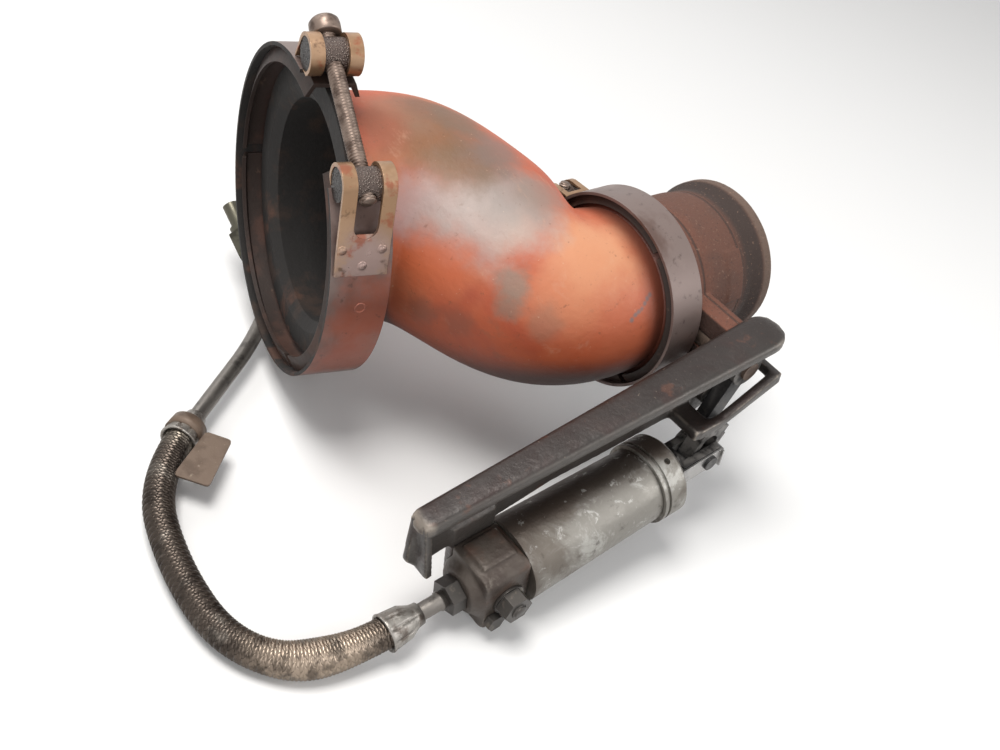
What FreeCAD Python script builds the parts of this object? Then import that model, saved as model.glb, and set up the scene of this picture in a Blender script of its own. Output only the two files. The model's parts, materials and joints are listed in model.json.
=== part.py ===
import FreeCAD, Part
import math
import os
import Sketcher

# Exhaust brake: reducer elbow, butterfly valve, air cylinder and air line.
# Millimetres. +X along the neck towards the turbocharger, +Z up, origin on the turbo flange face.

doc = FreeCAD.newDocument("exhaust_brake")
V = FreeCAD.Vector
X_AXIS, Y_AXIS, Z_AXIS = V(1, 0, 0), V(0, 1, 0), V(0, 0, 1)

# Driving dimensions
dims = {
    "mouth_band_radius": 79.0, "mouth_band_width": 28.0, "mouth_bore": 54.0, "mouth_pipe_radius": 57.0,
    "mouth_x": -205.3, "mouth_y": 106.2, "mouth_z": 4.3, "mouth_turn": -15.1,
    "neck_band_radius": 49.5, "neck_band_width": 20.0, "neck_pipe_radius": 41.5, "neck_joint_x": -74.0,
    "elbow_wall": 3.0, "valve_bore": 34.5, "turbo_bore": 33.0, "turbo_rim_radius": 41.0,
    "turbo_rim_width": 7.0, "fork_slot_floor": 13.6,
    "shaft_x": -53.0, "shaft_radius": 5.0, "running_gap": 0.05, "bush_wall": 2.5,
    "pin_x": -69.0, "pin_y": -78.0, "pin_z": -46.5, "ram_pitch": 10.0, "lever_swing": 57.0,
    "lever_plate": 8.0, "pin_radius": 4.0, "eye_play": 1.3,
    "brace_x": -37.0, "brace_y": -61.0, "brace_z": 19.5, "brace_pitch": 12.8, "brace_length": 205.0,
    "brace_wall": 4.0, "brace_height": 32.0, "brace_depth_right": 20.0, "brace_depth_left": 11.0,
    "barrel_radius": 19.4, "barrel_bore": 16.5, "rod_radius": 5.0,
    "hose_radius": 7.0, "tube_radius": 4.0, "fork_width": 17.0,
}
sheet = doc.addObject("Spreadsheet::Sheet", "dims")
for row, (alias, value) in enumerate(dims.items(), start=1):
    sheet.set("A%d" % row, alias)
    sheet.set("B%d" % row, str(value))
    sheet.setAlias("B%d" % row, alias)
doc.recompute()


class Size:
    """A length that keeps both its number and its spreadsheet expression."""

    def __init__(self, value, text):
        self.value = value
        self.text = text

    def join(self, other, sign, value):
        other_text = other.text if isinstance(other, Size) else repr(float(other))
        return Size(value, "(%s %s %s)" % (self.text, sign, other_text))

    def __add__(self, other):
        return self.join(other, "+", self.value + number(other))

    def __sub__(self, other):
        return self.join(other, "-", self.value - number(other))

    def __mul__(self, other):
        return self.join(other, "*", self.value * number(other))

    def __truediv__(self, other):
        return self.join(other, "/", self.value / number(other))

    def __neg__(self):
        return Size(-self.value, "(0 - %s)" % self.text)


def number(size):
    return size.value if isinstance(size, Size) else float(size)


def dim(alias):
    return Size(dims[alias], "dims." + alias)


def bind(obj, prop, size):
    if isinstance(size, Size):
        obj.setExpression(prop, size.text)
    else:
        setattr(obj, prop, float(size))


# Frames: a place and a turn in the row frame
class Frame:
    def __init__(self, origin, axis=Z_AXIS, angle=0.0):
        self.origin = origin
        self.turn = FreeCAD.Rotation(axis, number(angle))
        self.placement = FreeCAD.Placement(V(*[number(c) for c in origin]), self.turn)

    def world(self, x, y, z):
        return self.placement.multVec(V(x, y, z))

    def seat(self, obj):
        obj.Placement = self.placement
        for letter, value in zip("xyz", self.origin):
            if isinstance(value, Size):
                obj.setExpression("Placement.Base." + letter, value.text)
        return obj


VALVE = Frame((0, 0, 0))
MOUTH = Frame((dim("mouth_x"), dim("mouth_y"), dim("mouth_z")), Z_AXIS, dim("mouth_turn"))
BRACE = Frame((dim("brace_x"), dim("brace_y"), dim("brace_z")), Y_AXIS, -dim("brace_pitch"))
RAM = Frame((dim("pin_x"), dim("pin_y"), dim("pin_z")), Y_AXIS, -dim("ram_pitch"))
NECK = Frame((dim("neck_joint_x") - dim("neck_band_width") / 2, 0, 0))

shaft_x = dims["shaft_x"]
lever_x = dims["pin_x"] - shaft_x
lever_reach = math.hypot(lever_x, dims["pin_z"])
lever_angle = math.degrees(math.atan2(-dims["pin_z"], lever_x))
LEVER = Frame((dim("shaft_x"), 0, 0), Y_AXIS, lever_angle)

nodes = []


def node(obj, name):
    """Make an object one piece of the finished part."""
    obj.Label = name
    nodes.append((name, obj))
    return obj


# Primitives
TURNS = {
    "x": FreeCAD.Rotation(Z_AXIS, X_AXIS),
    "y": FreeCAD.Rotation(Z_AXIS, Y_AXIS),
    "z": FreeCAD.Rotation(),
}


def put(obj, at):
    for letter, value in zip("xyz", at):
        if isinstance(value, Size):
            obj.setExpression("Placement.Base." + letter, value.text)


def box(name, size_x, size_y, size_z, at):
    """A box centred on at."""
    obj = doc.addObject("Part::Box", name)
    for prop, size in (("Length", size_x), ("Width", size_y), ("Height", size_z)):
        bind(obj, prop, size)
    corner = [place - size / 2 if isinstance(place, Size) or not isinstance(size, Size)
              else -(size / 2) + place for place, size in zip(at, (size_x, size_y, size_z))]
    obj.Placement.Base = V(*[number(c) for c in corner])
    put(obj, corner)
    return obj


def rod(name, radius, length, at, along="x"):
    """A cylinder that starts at at and runs along an axis or a direction."""
    obj = doc.addObject("Part::Cylinder", name)
    bind(obj, "Radius", radius)
    bind(obj, "Height", length)
    turn = TURNS[along] if isinstance(along, str) else FreeCAD.Rotation(Z_AXIS, along)
    obj.Placement = FreeCAD.Placement(V(*[number(c) for c in at]), turn)
    put(obj, at)
    return obj


def cone(name, radius_start, radius_end, length, at, along="x"):
    obj = doc.addObject("Part::Cone", name)
    bind(obj, "Radius1", radius_start)
    bind(obj, "Radius2", radius_end)
    bind(obj, "Height", length)
    obj.Placement = FreeCAD.Placement(V(*[number(c) for c in at]), TURNS[along])
    put(obj, at)
    return obj


def hexagon(name, across_flats, length, at, along="x"):
    """A hexagonal prism for nuts and bolt heads."""
    obj = doc.addObject("Part::Prism", name)
    obj.Polygon = 6
    bind(obj, "Circumradius", across_flats / math.sqrt(3.0))
    bind(obj, "Height", length)
    turn = TURNS[along] if isinstance(along, str) else FreeCAD.Rotation(Z_AXIS, along)
    obj.Placement = FreeCAD.Placement(V(*[number(c) for c in at]), turn)
    put(obj, at)
    return obj


def fuse(name, *shapes):
    """Join shapes; a single one is only wrapped, so that it can be seated in a frame."""
    if len(shapes) == 1:
        obj = doc.addObject("Part::Compound", name)
        obj.Links = list(shapes)
        return obj
    obj = doc.addObject("Part::MultiFuse", name)
    obj.Shapes = list(shapes)
    obj.Refine = True
    return obj


def cut(name, base, *tools):
    obj = doc.addObject("Part::Cut", name)
    obj.Base = base
    obj.Tool = tools[0] if len(tools) == 1 else fuse(name + "_tools", *tools)
    obj.Refine = True
    return obj


def common(name, one, two):
    obj = doc.addObject("Part::MultiCommon", name)
    obj.Shapes = [one, two]
    return obj


# Sketch-built bodies
def origin_plane(body, role):
    return [part for part in body.Origin.OriginFeatures if part.Role == role][0]


def draw(sketch, points):
    """Draw a closed outline whose corners are all held by the spreadsheet."""
    count = len(points)
    corners = [V(number(a), number(b), 0) for a, b in points]
    for index in range(count):
        sketch.addGeometry(Part.LineSegment(corners[index], corners[(index + 1) % count]), False)
    for index in range(count):
        sketch.addConstraint(Sketcher.Constraint("Coincident", index, 2, (index + 1) % count, 1))
    for index, (a, b) in enumerate(points):
        for kind, size in (("DistanceX", a), ("DistanceY", b)):
            if number(size) == 0.0:
                axis = -2 if kind == "DistanceX" else -1
                sketch.addConstraint(Sketcher.Constraint("PointOnObject", index, 1, axis))
                continue
            spot = sketch.addConstraint(Sketcher.Constraint(kind, -1, 1, index, 1, number(size)))
            if isinstance(size, Size):
                sketch.setExpression("Constraints[%d]" % spot, size.text)


def outline(body, name, role, points):
    sketch = body.newObject("Sketcher::SketchObject", name)
    sketch.AttachmentSupport = [(origin_plane(body, role), "")]
    sketch.MapMode = "FlatFace"
    draw(sketch, points)
    return sketch


def turned(name, profile, angle=360.0):
    """A body turned about its X axis from points of (along, radius)."""
    body = doc.addObject("PartDesign::Body", name)
    sketch = outline(body, name + "_profile", "XZ_Plane", profile)
    feature = body.newObject("PartDesign::Revolution", name + "_turn")
    feature.Profile = sketch
    feature.ReferenceAxis = (sketch, ["H_Axis"])
    feature.Angle = angle
    doc.recompute()
    return body


def plate(name, points, thickness, role="XZ_Plane"):
    """A body padded both ways from one of its planes."""
    body = doc.addObject("PartDesign::Body", name)
    sketch = outline(body, name + "_outline", role, points)
    feature = body.newObject("PartDesign::Pad", name + "_pad")
    feature.Profile = sketch
    bind(feature, "Length", thickness)
    feature.Midplane = True
    doc.recompute()
    return body


# Valve housing
def make_housing():
    joint = dim("neck_joint_x")
    neck_face = joint + 0.9
    rim = dim("turbo_rim_radius")
    outside = turned("housing_outside", [
        (neck_face, 0), (neck_face, 45.8), (neck_face + 2.4, 45.8), (neck_face + 7.2, 40.0),
        (-53, 40.0), (-51.5, 39.0), (-27, 38.8), (-22, 38.0), (-13, 37.8),
        (-dim("turbo_rim_width"), rim), (-1.2, rim), (0, rim - 1.2), (0, 0),
    ])
    arm = box("housing_arm", 14, 29, 28, (dim("shaft_x"), -46.4, 1))
    arm_foot = box("housing_arm_foot", 30, 7, 30, (dim("shaft_x"), -57.4, -14))
    far_boss = rod("housing_far_boss", 13, 18, (dim("shaft_x"), 34, 0), "y")
    ridge = box("housing_ridge", 12, 14, 24, (-26, -33.5, 18))
    solid = fuse("housing_solid", outside, arm, arm_foot, far_boss)
    solid = fuse("housing_with_ridge", solid, common("housing_ridge_trim", ridge, rod(
        "housing_ridge_limit", 39.8, 40, (-50, 0, 0))))
    shaft_hole = dim("shaft_radius") + dim("bush_wall")
    housing = cut("housing_bored", solid,
                  rod("housing_bore", dim("valve_bore"), 63, (-73.2, 0, 0)),
                  cone("housing_taper", dim("valve_bore"), dim("turbo_bore"), 2, (-10.9, 0, 0)),
                  rod("housing_spigot", dim("turbo_bore"), 12, (-10, 0, 0)),
                  rod("housing_shaft_hole", shaft_hole, 116, (dim("shaft_x"), -63, 0), "y"),
                  rod("housing_screw_a", 3.0, 14, (shaft_x - 10, -61, -20), "y"),
                  rod("housing_screw_b", 3.0, 14, (shaft_x + 10, -61, -20), "y"))
    return node(VALVE.seat(housing), "valve_housing")


def make_valve():
    shaft = dim("shaft_radius")
    start = -78.4
    flap_tilt = FreeCAD.Rotation(Y_AXIS, -18.0)
    spindle = rod("shaft_rod", shaft, 122.4, (dim("shaft_x"), start, 0), "y")
    flat = box("shaft_flat", 12, 72, 5, (0, 0, 0))
    flat.Placement = FreeCAD.Placement(V(shaft_x, 0, 0), flap_tilt).multiply(
        FreeCAD.Placement(V(-6, -36, 1.5), FreeCAD.Rotation()))
    holes = []
    for offset in (-12, 12):
        hole = rod("shaft_screw_hole", 2.0, 20, (0, 0, 0), "z")
        hole.Placement = FreeCAD.Placement(V(shaft_x, 0, 0), flap_tilt).multiply(
            FreeCAD.Placement(V(0, offset, -10), FreeCAD.Rotation()))
        holes.append(hole)
    lever_hole = rod("shaft_pin_hole", 1.8, 24, (0, 0, 0), "z")
    lever_hole.Placement = LEVER.placement.multiply(FreeCAD.Placement(V(0, -72, -12), FreeCAD.Rotation()))
    holes.append(lever_hole)
    node(VALVE.seat(cut("shaft_cut", spindle, flat, *holes)), "butterfly_shaft")

    tilted = Frame((dim("shaft_x"), 0, 0), Y_AXIS, -18.0)
    disc = rod("flap_round", 33.8, 4.0, (0, 0, 1.6), "z")
    bleed = rod("flap_bleed", 5.0, 8, (-20, 0, 0), "z")
    screw_holes = [rod("flap_screw_hole", 2.3, 8, (0, offset, 0), "z") for offset in (-12, 12)]
    rib = box("flap_rib", 50, 5, 3, (0, 0, 7))
    flap = cut("flap_cut", fuse("flap_solid", disc, rib), bleed, *screw_holes)
    node(tilted.seat(flap), "flap_disc")

    screws = []
    for offset in (-12, 12):
        head = rod("flap_screw_head", 3.6, 2.6, (0, offset, 5.7), "z")
        stem = rod("flap_screw_stem", 1.95, 13.6, (0, offset, -7.8), "z")
        screws.append(fuse("flap_screw", head, stem))
    node(tilted.seat(fuse("flap_screw_pair", *screws)), "flap_screws")

    gap = dim("running_gap")
    wall = shaft + dim("bush_wall")
    for name, at, length in (("near_bush", -61.5, 24.0), ("far_bush", 36.5, 12.0)):
        bush = cut(name + "_cut", rod(name + "_out", wall, length, (dim("shaft_x"), at, 0), "y"),
                   rod(name + "_in", shaft + gap, length + 2, (dim("shaft_x"), at - 1, 0), "y"))
        node(VALVE.seat(bush), name)
    cap = fuse("far_cap_solid", rod("far_cap_plug", wall, 4, (dim("shaft_x"), 48.6, 0), "y"),
               rod("far_cap_head", 10.5, 2.2, (dim("shaft_x"), 52.1, 0), "y"))
    node(VALVE.seat(cap), "far_cap")


def make_lever():
    """Slotted lever, joggled forward past the front rail."""
    half_eye = dim("pin_radius") + dim("eye_play")
    reach = lever_reach
    nearest = reach * math.cos(math.radians(dims["lever_swing"] / 2.0))
    hub = rod("lever_hub", 9.5, 9.6, (0, -76.6, 0), "y")
    joggle = 30.4
    joggle_width = 5.6
    arm_height = 10.0
    arm_reach = joggle + joggle_width - 0.5
    inner = box("lever_inner", arm_reach, 7, arm_height, (arm_reach / 2, -72.2, 0))
    step = box("lever_step", joggle_width, 12.2, arm_height, (joggle + joggle_width / 2, -74.9, 0))
    half_tip = half_eye + 3.4
    outer = box("lever_outer", reach - joggle, dim("lever_plate"), half_tip * 2,
                ((reach + joggle) / 2, dim("pin_y"), 0))
    tip = rod("lever_tip", half_tip, dim("lever_plate"), (reach, dim("pin_y") - 4, 0), "y")
    solid = fuse("lever_solid", hub, inner, step, outer, tip)
    slot_box = box("lever_slot_box", reach - nearest + 1, 14, half_eye * 2, ((reach + nearest - 1) / 2, -78, 0))
    slot_ends = [rod("lever_slot_end", half_eye, 14, (spot, -85, 0), "y") for spot in (nearest - 1, reach)]
    bore = rod("lever_bore", dim("shaft_radius"), 14, (0, -78, 0), "y")
    corner = [box("lever_corner", 6, 12, 8, (joggle + 2, -82, side * 11)) for side in (-1, 1)]
    pin_hole = rod("lever_pin_hole", 1.8, 24, (0, -72, -12), "z")
    node(LEVER.seat(cut("lever_cut", solid, slot_box, *slot_ends, bore, pin_hole, *corner)), "lever")
    clamp = fuse("lever_pin_solid", rod("lever_pin", 1.8, 22, (0, -72, -11), "z"))
    node(LEVER.seat(clamp), "lever_cross_pin")


def make_bracket():
    """Cast channel arm from the valve to the cylinder head."""
    length = dim("brace_length")
    wall = dim("brace_wall")
    height = dim("brace_height")
    top = plate("brace_top", [
        (-9, 0), (-9, -dim("brace_depth_right")), (-length, -dim("brace_depth_left")), (-length, 0)],
        wall, "XY_Plane")
    top.Placement = FreeCAD.Placement(V(0, 0, -wall.value / 2), FreeCAD.Rotation())
    web = plate("brace_web", [
        (-5, 0), (0, -22), (-10, -33), (-32, -45), (-46, -48), (-58, -38), (-100, -35), (-130, -height),
        (-length, -height - 4), (-length - 5, -28), (-length, 0)], wall)
    web.Placement = FreeCAD.Placement(V(0, -wall.value / 2, 0), FreeCAD.Rotation())
    nose = rod("brace_nose", 10, wall, (-9, -10, -wall.value), "z")
    end_lip = box("brace_end_lip", 4, 11, 38, (-203, -5.5, -19))
    channel = fuse("brace_channel", top, web, nose, end_lip)
    BRACE.seat(channel)
    front_rail = plate("brace_rail", [
        (-37.5, -3), (-33, -8.5), (-66, -25.2), (-82.5, -28.5), (-82.5, -22.5), (-68, -20.5)], 5.0)
    front_rail.Placement = FreeCAD.Placement(V(0, -82.3, 0), FreeCAD.Rotation())
    cross_bar = box("brace_cross_bar", 13, 22, 6, (-79.6, -73.3, -25.5))
    right_wall = box("brace_right_wall", 5, 22, 5.5, (-35.5, -73.3, -5.9))
    pad = box("brace_pad", 23, 6, 42, (0, 0, 0))
    pad.Placement = RAM.placement.multiply(FreeCAD.Placement(V(-142, 11.0, -13), FreeCAD.Rotation()))
    solid = fuse("brace_solid", channel, front_rail, cross_bar, right_wall, pad)
    stud_hole = rod("brace_stud_hole", 3.9, 20, (0, 0, 0), "y")
    stud_hole.Placement = RAM.placement.multiply(FreeCAD.Placement(V(-130, 7, 0), TURNS["y"]))
    bracket = cut("brace_cut", solid,
                  rod("brace_shaft_hole", 11.0, 9, (dim("shaft_x"), -67, 0), "y"),
                  rod("brace_screw_a", 3.3, 9, (shaft_x - 10, -67, -20), "y"),
                  rod("brace_screw_b", 3.3, 9, (shaft_x + 10, -67, -20), "y"),
                  box("brace_square_hole", 11, 8, 11, (-80, -62, -10)),
                  stud_hole)
    node(VALVE.seat(bracket), "bracket_arm")
    screws = []
    for side in (-10, 10):
        head = rod("brace_screw_head", 5.0, 3.0, (shaft_x + side, -68.0, -20), "y")
        stem = rod("brace_screw_stem", 2.95, 16, (shaft_x + side, -65.0, -20), "y")
        screws.append(fuse("brace_screw", head, stem))
    node(VALVE.seat(fuse("brace_screw_pair", *screws)), "bracket_screws")


# Air cylinder, drawn along its own axis with the rod pin at the origin
def make_cylinder():
    bore = dim("barrel_bore")
    outer = dim("barrel_radius")
    rod_r = dim("rod_radius")
    slot_floor = dim("fork_slot_floor")
    rod_end = -slot_floor - 0.3
    barrel = turned("barrel_outside", [
        (-118, 0), (-118, outer + 0.9), (-40, outer - 0.6), (-40, 0)])
    node(RAM.seat(cut("barrel_cut", barrel, rod("barrel_bore_cut", bore, 74, (-113, 0, 0)))), "cylinder_barrel")

    head_core = box("head_core", 24, 26.5, 35, (-130.2, -2.25, 0))
    head = common("head_rounded", head_core, rod("head_limit", 21.4, 40, (-150, 0, 0)))
    raised = box("head_raised_pad", 18, 16, 3, (-130, 0, 18.2))
    nose = cone("head_nose", 11, 15, 4.3, (-146.4, 0, 0))
    head_solid = fuse("head_solid", head, raised, nose)
    head_cut = cut("head_cut", head_solid, rod("head_stud_hole", 4.1, 50, (-130, -25, 0), "y"),
                   rod("head_inlet_hole", 4.3, 8, (-148, 0, 0)))
    node(RAM.seat(head_cut), "head_block")

    collar = turned("collar_outside", [
        (-39.7, rod_r + 0.1), (-39.7, 20.6), (-26.5, 20.6), (-24.6, 18.8), (-24.6, 10), (-21, 9), (-21, rod_r + 0.1)])
    pins = [rod("collar_pin_hole", 1.6, 6, (-31, 0, 0), V(0, math.cos(a), math.sin(a)))
            for a in (math.radians(230), math.radians(300), math.radians(110), math.radians(20))]
    for pin, a in zip(pins, (230, 300, 110, 20)):
        reach = 17.0
        pin.Placement.Base = V(-31, reach * math.cos(math.radians(a)), reach * math.sin(math.radians(a)))
    groove = cut("collar_groove", rod("collar_groove_out", 23, 1.6, (-37.6, 0, 0)),
                 rod("collar_groove_in", 19.2, 3.6, (-38.6, 0, 0)))
    node(RAM.seat(cut("collar_cut", collar, groove, *pins)), "end_cap")

    node(RAM.seat(turned("piston_shape", [
        (-112, 0), (-112, bore - 0.2), (-109.6, bore - 0.2), (-109.6, bore - 2.4), (-106.4, bore - 2.4),
        (-106.4, bore - 0.2), (-104, bore - 0.2), (-104, 0)])), "piston")
    seal = doc.addObject("Part::Torus", "piston_seal_ring")
    bind(seal, "Radius1", bore - 1.42)
    seal.Radius2 = 1.3
    seal.Placement = FreeCAD.Placement(V(-108, 0, 0), TURNS["x"])
    node(RAM.seat(fuse("piston_seal_solid", seal)), "piston_seal")
    node(RAM.seat(turned("rod_shape", [(-104, 0), (-104, rod_r), (rod_end, rod_r), (rod_end, 0)])), "piston_rod")
    guide = turned("wiper_shape", [(-20.9, rod_r + 0.1), (-20.9, 8.4), (-19.8, 7.6), (-19.8, rod_r + 0.1)])
    node(RAM.seat(guide), "rod_wiper")

    width = dim("fork_width")
    plate_gap = dim("lever_plate") + 1.0
    block = box("fork_block", 22.5, width, 12, (-6.25, 0, 0))
    tips = [rod("fork_tip", 6.0, 4.0, (5.0, side, 0), "y") for side in (-8.5, 4.5)]
    boss = rod("fork_boss", 7.0, 4, (-19.4, 0, 0))
    slot_length = slot_floor + 16.0
    fork = cut("fork_cut", fuse("fork_solid", block, *tips, boss),
               box("fork_slot", slot_length, plate_gap, 15, (slot_length / 2 - slot_floor, 0, 0)),
               rod("fork_pin_hole", dim("pin_radius") + 0.05, 24, (0, -12, 0), "y"),
               rod("fork_thread", rod_r, 9, (-20.4, 0, 0)))
    node(RAM.seat(fork), "rod_fork")
    pin = fuse("fork_pin_solid", rod("fork_pin_stem", dim("pin_radius"), 21.5, (0, -11.2, 0), "y"),
               rod("fork_pin_head", 5.6, 1.8, (0, 8.7, 0), "y"))
    node(RAM.seat(pin), "fork_pin")
    clip_leg = box("clip_leg", 26, 1.0, 11, (-5.5, -9.3, 0))
    clip_back = box("clip_back", 1.0, 2.6, 11, (-18.1, -8.5, 0))
    clip_nose = box("clip_nose", 1.0, 2.0, 11, (7.0, -10.3, 0))
    node(RAM.seat(cut("clip_cut", fuse("clip_solid", clip_leg, clip_back, clip_nose),
                      rod("clip_hole", dim("pin_radius"), 6, (0, -12.5, 0), "y"))), "spring_clip")

    stud = rod("stud_rod", 3.85, 43, (-130, -25, 0), "y")
    node(RAM.seat(fuse("stud_solid", stud)), "head_stud")
    nut = cut("nut_cut", fuse("nut_solid", hexagon("nut_hex", 13, 7.0, (-130, -23.6, 0), "y"),
                              rod("nut_washer", 8.0, 1.2, (-130, -16.8, 0), "y")),
              rod("nut_hole", 3.85, 12, (-130, -25, 0), "y"))
    node(RAM.seat(nut), "stud_nut")
    plug = fuse("plug_solid", hexagon("plug_hex", 8, 3.6, (-138, -19.2, -9.5), "y"),
                rod("plug_stem", 2.4, 5, (-138, -15.7, -9.5), "y"))
    head_plug_hole = rod("plug_hole", 2.4, 6, (-138, -16.5, -9.5), "y")
    head_cut.Tool.Shapes = head_cut.Tool.Shapes + [head_plug_hole]
    node(RAM.seat(plug), "head_plug")


# Elbow
def circle_wire(centre, direction, radius):
    """A circle whose seam always lies on the same side, so lofts don't twist."""
    edge = Part.makeCircle(radius)
    edge.Placement = FreeCAD.Placement(centre, FreeCAD.Rotation(Z_AXIS, direction))
    return Part.Wire(edge)


def make_elbow():
    """Formed reducer elbow: sections along an offset, tightening from mouth to neck."""
    neck = dims["neck_joint_x"]
    wall = dims["elbow_wall"]
    neck_r, mouth_r = dims["neck_pipe_radius"], dims["mouth_pipe_radius"]
    mouth_dir = MOUTH.turn.multVec(X_AXIS)
    mouth_end = MOUTH.world(24, 0, 0)
    sections = [
        (V(neck - 8, 0, 0), X_AXIS, neck_r),
        (V(neck - 22, 1, 0), V(0.985, -0.17, 0), neck_r + 1.0),
        (V(neck - 41, 15.5, 0.5), V(0.70, -0.71, 0), neck_r + 6.0),
        (V(neck - 54.5, 48.5, 3.5), V(0.47, -0.88, 0), neck_r + 11.0),
        (V(neck - 69, 81, 5.5), V(0.72, -0.69, 0), mouth_r - 1.5),
        (MOUTH.world(39, -0.5, 1), V(0.93, -0.36, 0), mouth_r - 0.5),
        (mouth_end, mouth_dir, mouth_r),
    ]
    outside = Part.makeLoft([circle_wire(c, d, r) for c, d, r in sections], True, False)
    inside = Part.makeLoft([circle_wire(c, d, r - wall) for c, d, r in sections], True, False)
    body = doc.addObject("Part::Feature", "elbow_body")
    body.Shape = outside.cut(inside)
    mouth_flange = turned("elbow_mouth_flange", [
        (12, 59.5), (12, 71), (14.4, 71), (20.4, 60), (24, dim("mouth_pipe_radius")),
        (24, dim("mouth_bore")), (16, dim("mouth_bore"))])
    MOUTH.seat(mouth_flange)
    neck_flange = turned("elbow_neck_flange", [
        (-8, neck_r - wall), (-8, neck_r), (-3.3, 45.8), (-0.9, 45.8), (-0.9, neck_r - wall)])
    neck_flange.Placement = FreeCAD.Placement(V(neck, 0, 0), FreeCAD.Rotation())
    node(VALVE.seat(fuse("elbow_solid", body, mouth_flange, neck_flange)), "elbow_pipe")
    ring = turned("seal_shape", [(-0.6, 38.0), (-0.6, 45.2), (0.6, 45.2), (0.6, 38.0)])
    ring.Placement = FreeCAD.Placement(V(neck, 0, 0), FreeCAD.Rotation())
    node(VALVE.seat(fuse("seal_solid", ring)), "neck_seal_ring")


# Band clamps with V segments and a T-bolt
def radial(angle, radius, x):
    """A point of a clamp: angle from the -Y side towards +Z."""
    a = math.radians(angle)
    return V(x, -radius * math.cos(a), radius * math.sin(a))


def frame_at(angle, radius, x):
    """A placement on a clamp whose local -Y points outwards and +Z towards larger angles."""
    return FreeCAD.Placement(radial(angle, radius, x), FreeCAD.Rotation(X_AXIS, -angle))


def sector(name, start, end, x_start, x_end, inner, outer):
    """A ring piece between two angles, about the clamp's axis."""
    body = doc.addObject("PartDesign::Body", name)
    sketch = outline(body, name + "_profile", "XZ_Plane", [
        (x_start, inner), (x_start, outer), (x_end, outer), (x_end, inner)])
    feature = body.newObject("PartDesign::Revolution", name + "_turn")
    feature.Profile = sketch
    feature.ReferenceAxis = (sketch, ["H_Axis"])
    feature.Angle = end - start
    doc.recompute()
    body.Placement = FreeCAD.Placement(V(0, 0, 0), FreeCAD.Rotation(X_AXIS, 90.0 - end))
    return body


def vee(name, start, end, width, inner, outer, sheet_gauge):
    """One pressed retainer segment: a shallow V channel."""
    gauge = sheet_gauge
    body = doc.addObject("PartDesign::Body", name)
    low, high = 1.2, width - 1.2
    lean = (outer - inner) * 0.42
    profile = [
        (low, inner), (low + lean, outer), (high - lean, outer), (high, inner),
        (high - gauge * 1.1, inner), (high - lean - gauge * 0.6, outer - gauge),
        (low + lean + gauge * 0.6, outer - gauge), (low + gauge * 1.1, inner)]
    sketch = outline(body, name + "_profile", "XZ_Plane", profile)
    feature = body.newObject("PartDesign::Revolution", name + "_turn")
    feature.Profile = sketch
    feature.ReferenceAxis = (sketch, ["H_Axis"])
    feature.Angle = end - start
    doc.recompute()
    body.Placement = FreeCAD.Placement(V(0, 0, 0), FreeCAD.Rotation(X_AXIS, 90.0 - end))
    return body


def loop_shape(centre_angle, root_angle, band_outer, gauge, ring_outer, width):
    """Strip folded round a trunnion and laid back on the band."""
    centre = radial(centre_angle, band_outer - gauge + ring_outer, 0)

    def tangent(point, radius, outward):
        away = centre.sub(point)
        turn = math.asin(radius / away.Length)
        base = math.atan2(away.z, away.y)
        run = math.sqrt(away.Length ** 2 - radius ** 2)
        spots = [V(0, point.y + run * math.cos(base + side * turn), point.z + run * math.sin(base + side * turn))
                 for side in (-1.0, 1.0)]
        spots.sort(key=lambda spot: spot.Length)
        return spots[1] if outward else spots[0]

    def drop(radius, inset):
        low = radial(root_angle, band_outer - gauge + inset, 0)
        high = radial(root_angle, band_outer + gauge - inset, 0)
        first = tangent(low, radius, False)
        last = tangent(high, radius, True)
        away = centre.sub(radial(root_angle, band_outer, 0))
        away.normalize()
        far = centre.add(away.multiply(radius))
        edges = [Part.LineSegment(low, first).toShape(), Part.Arc(first, far, last).toShape(),
                 Part.LineSegment(last, high).toShape(), Part.LineSegment(high, low).toShape()]
        return Part.Face(Part.Wire(edges)).extrude(V(width, 0, 0))

    outer = drop(ring_outer, 0.0)
    inner = drop(ring_outer - gauge, gauge * 0.96)
    band_space = Part.makeCylinder(band_outer, width + 2, V(-1, 0, 0), X_AXIS)
    return outer.cut(inner).cut(band_space)


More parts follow.
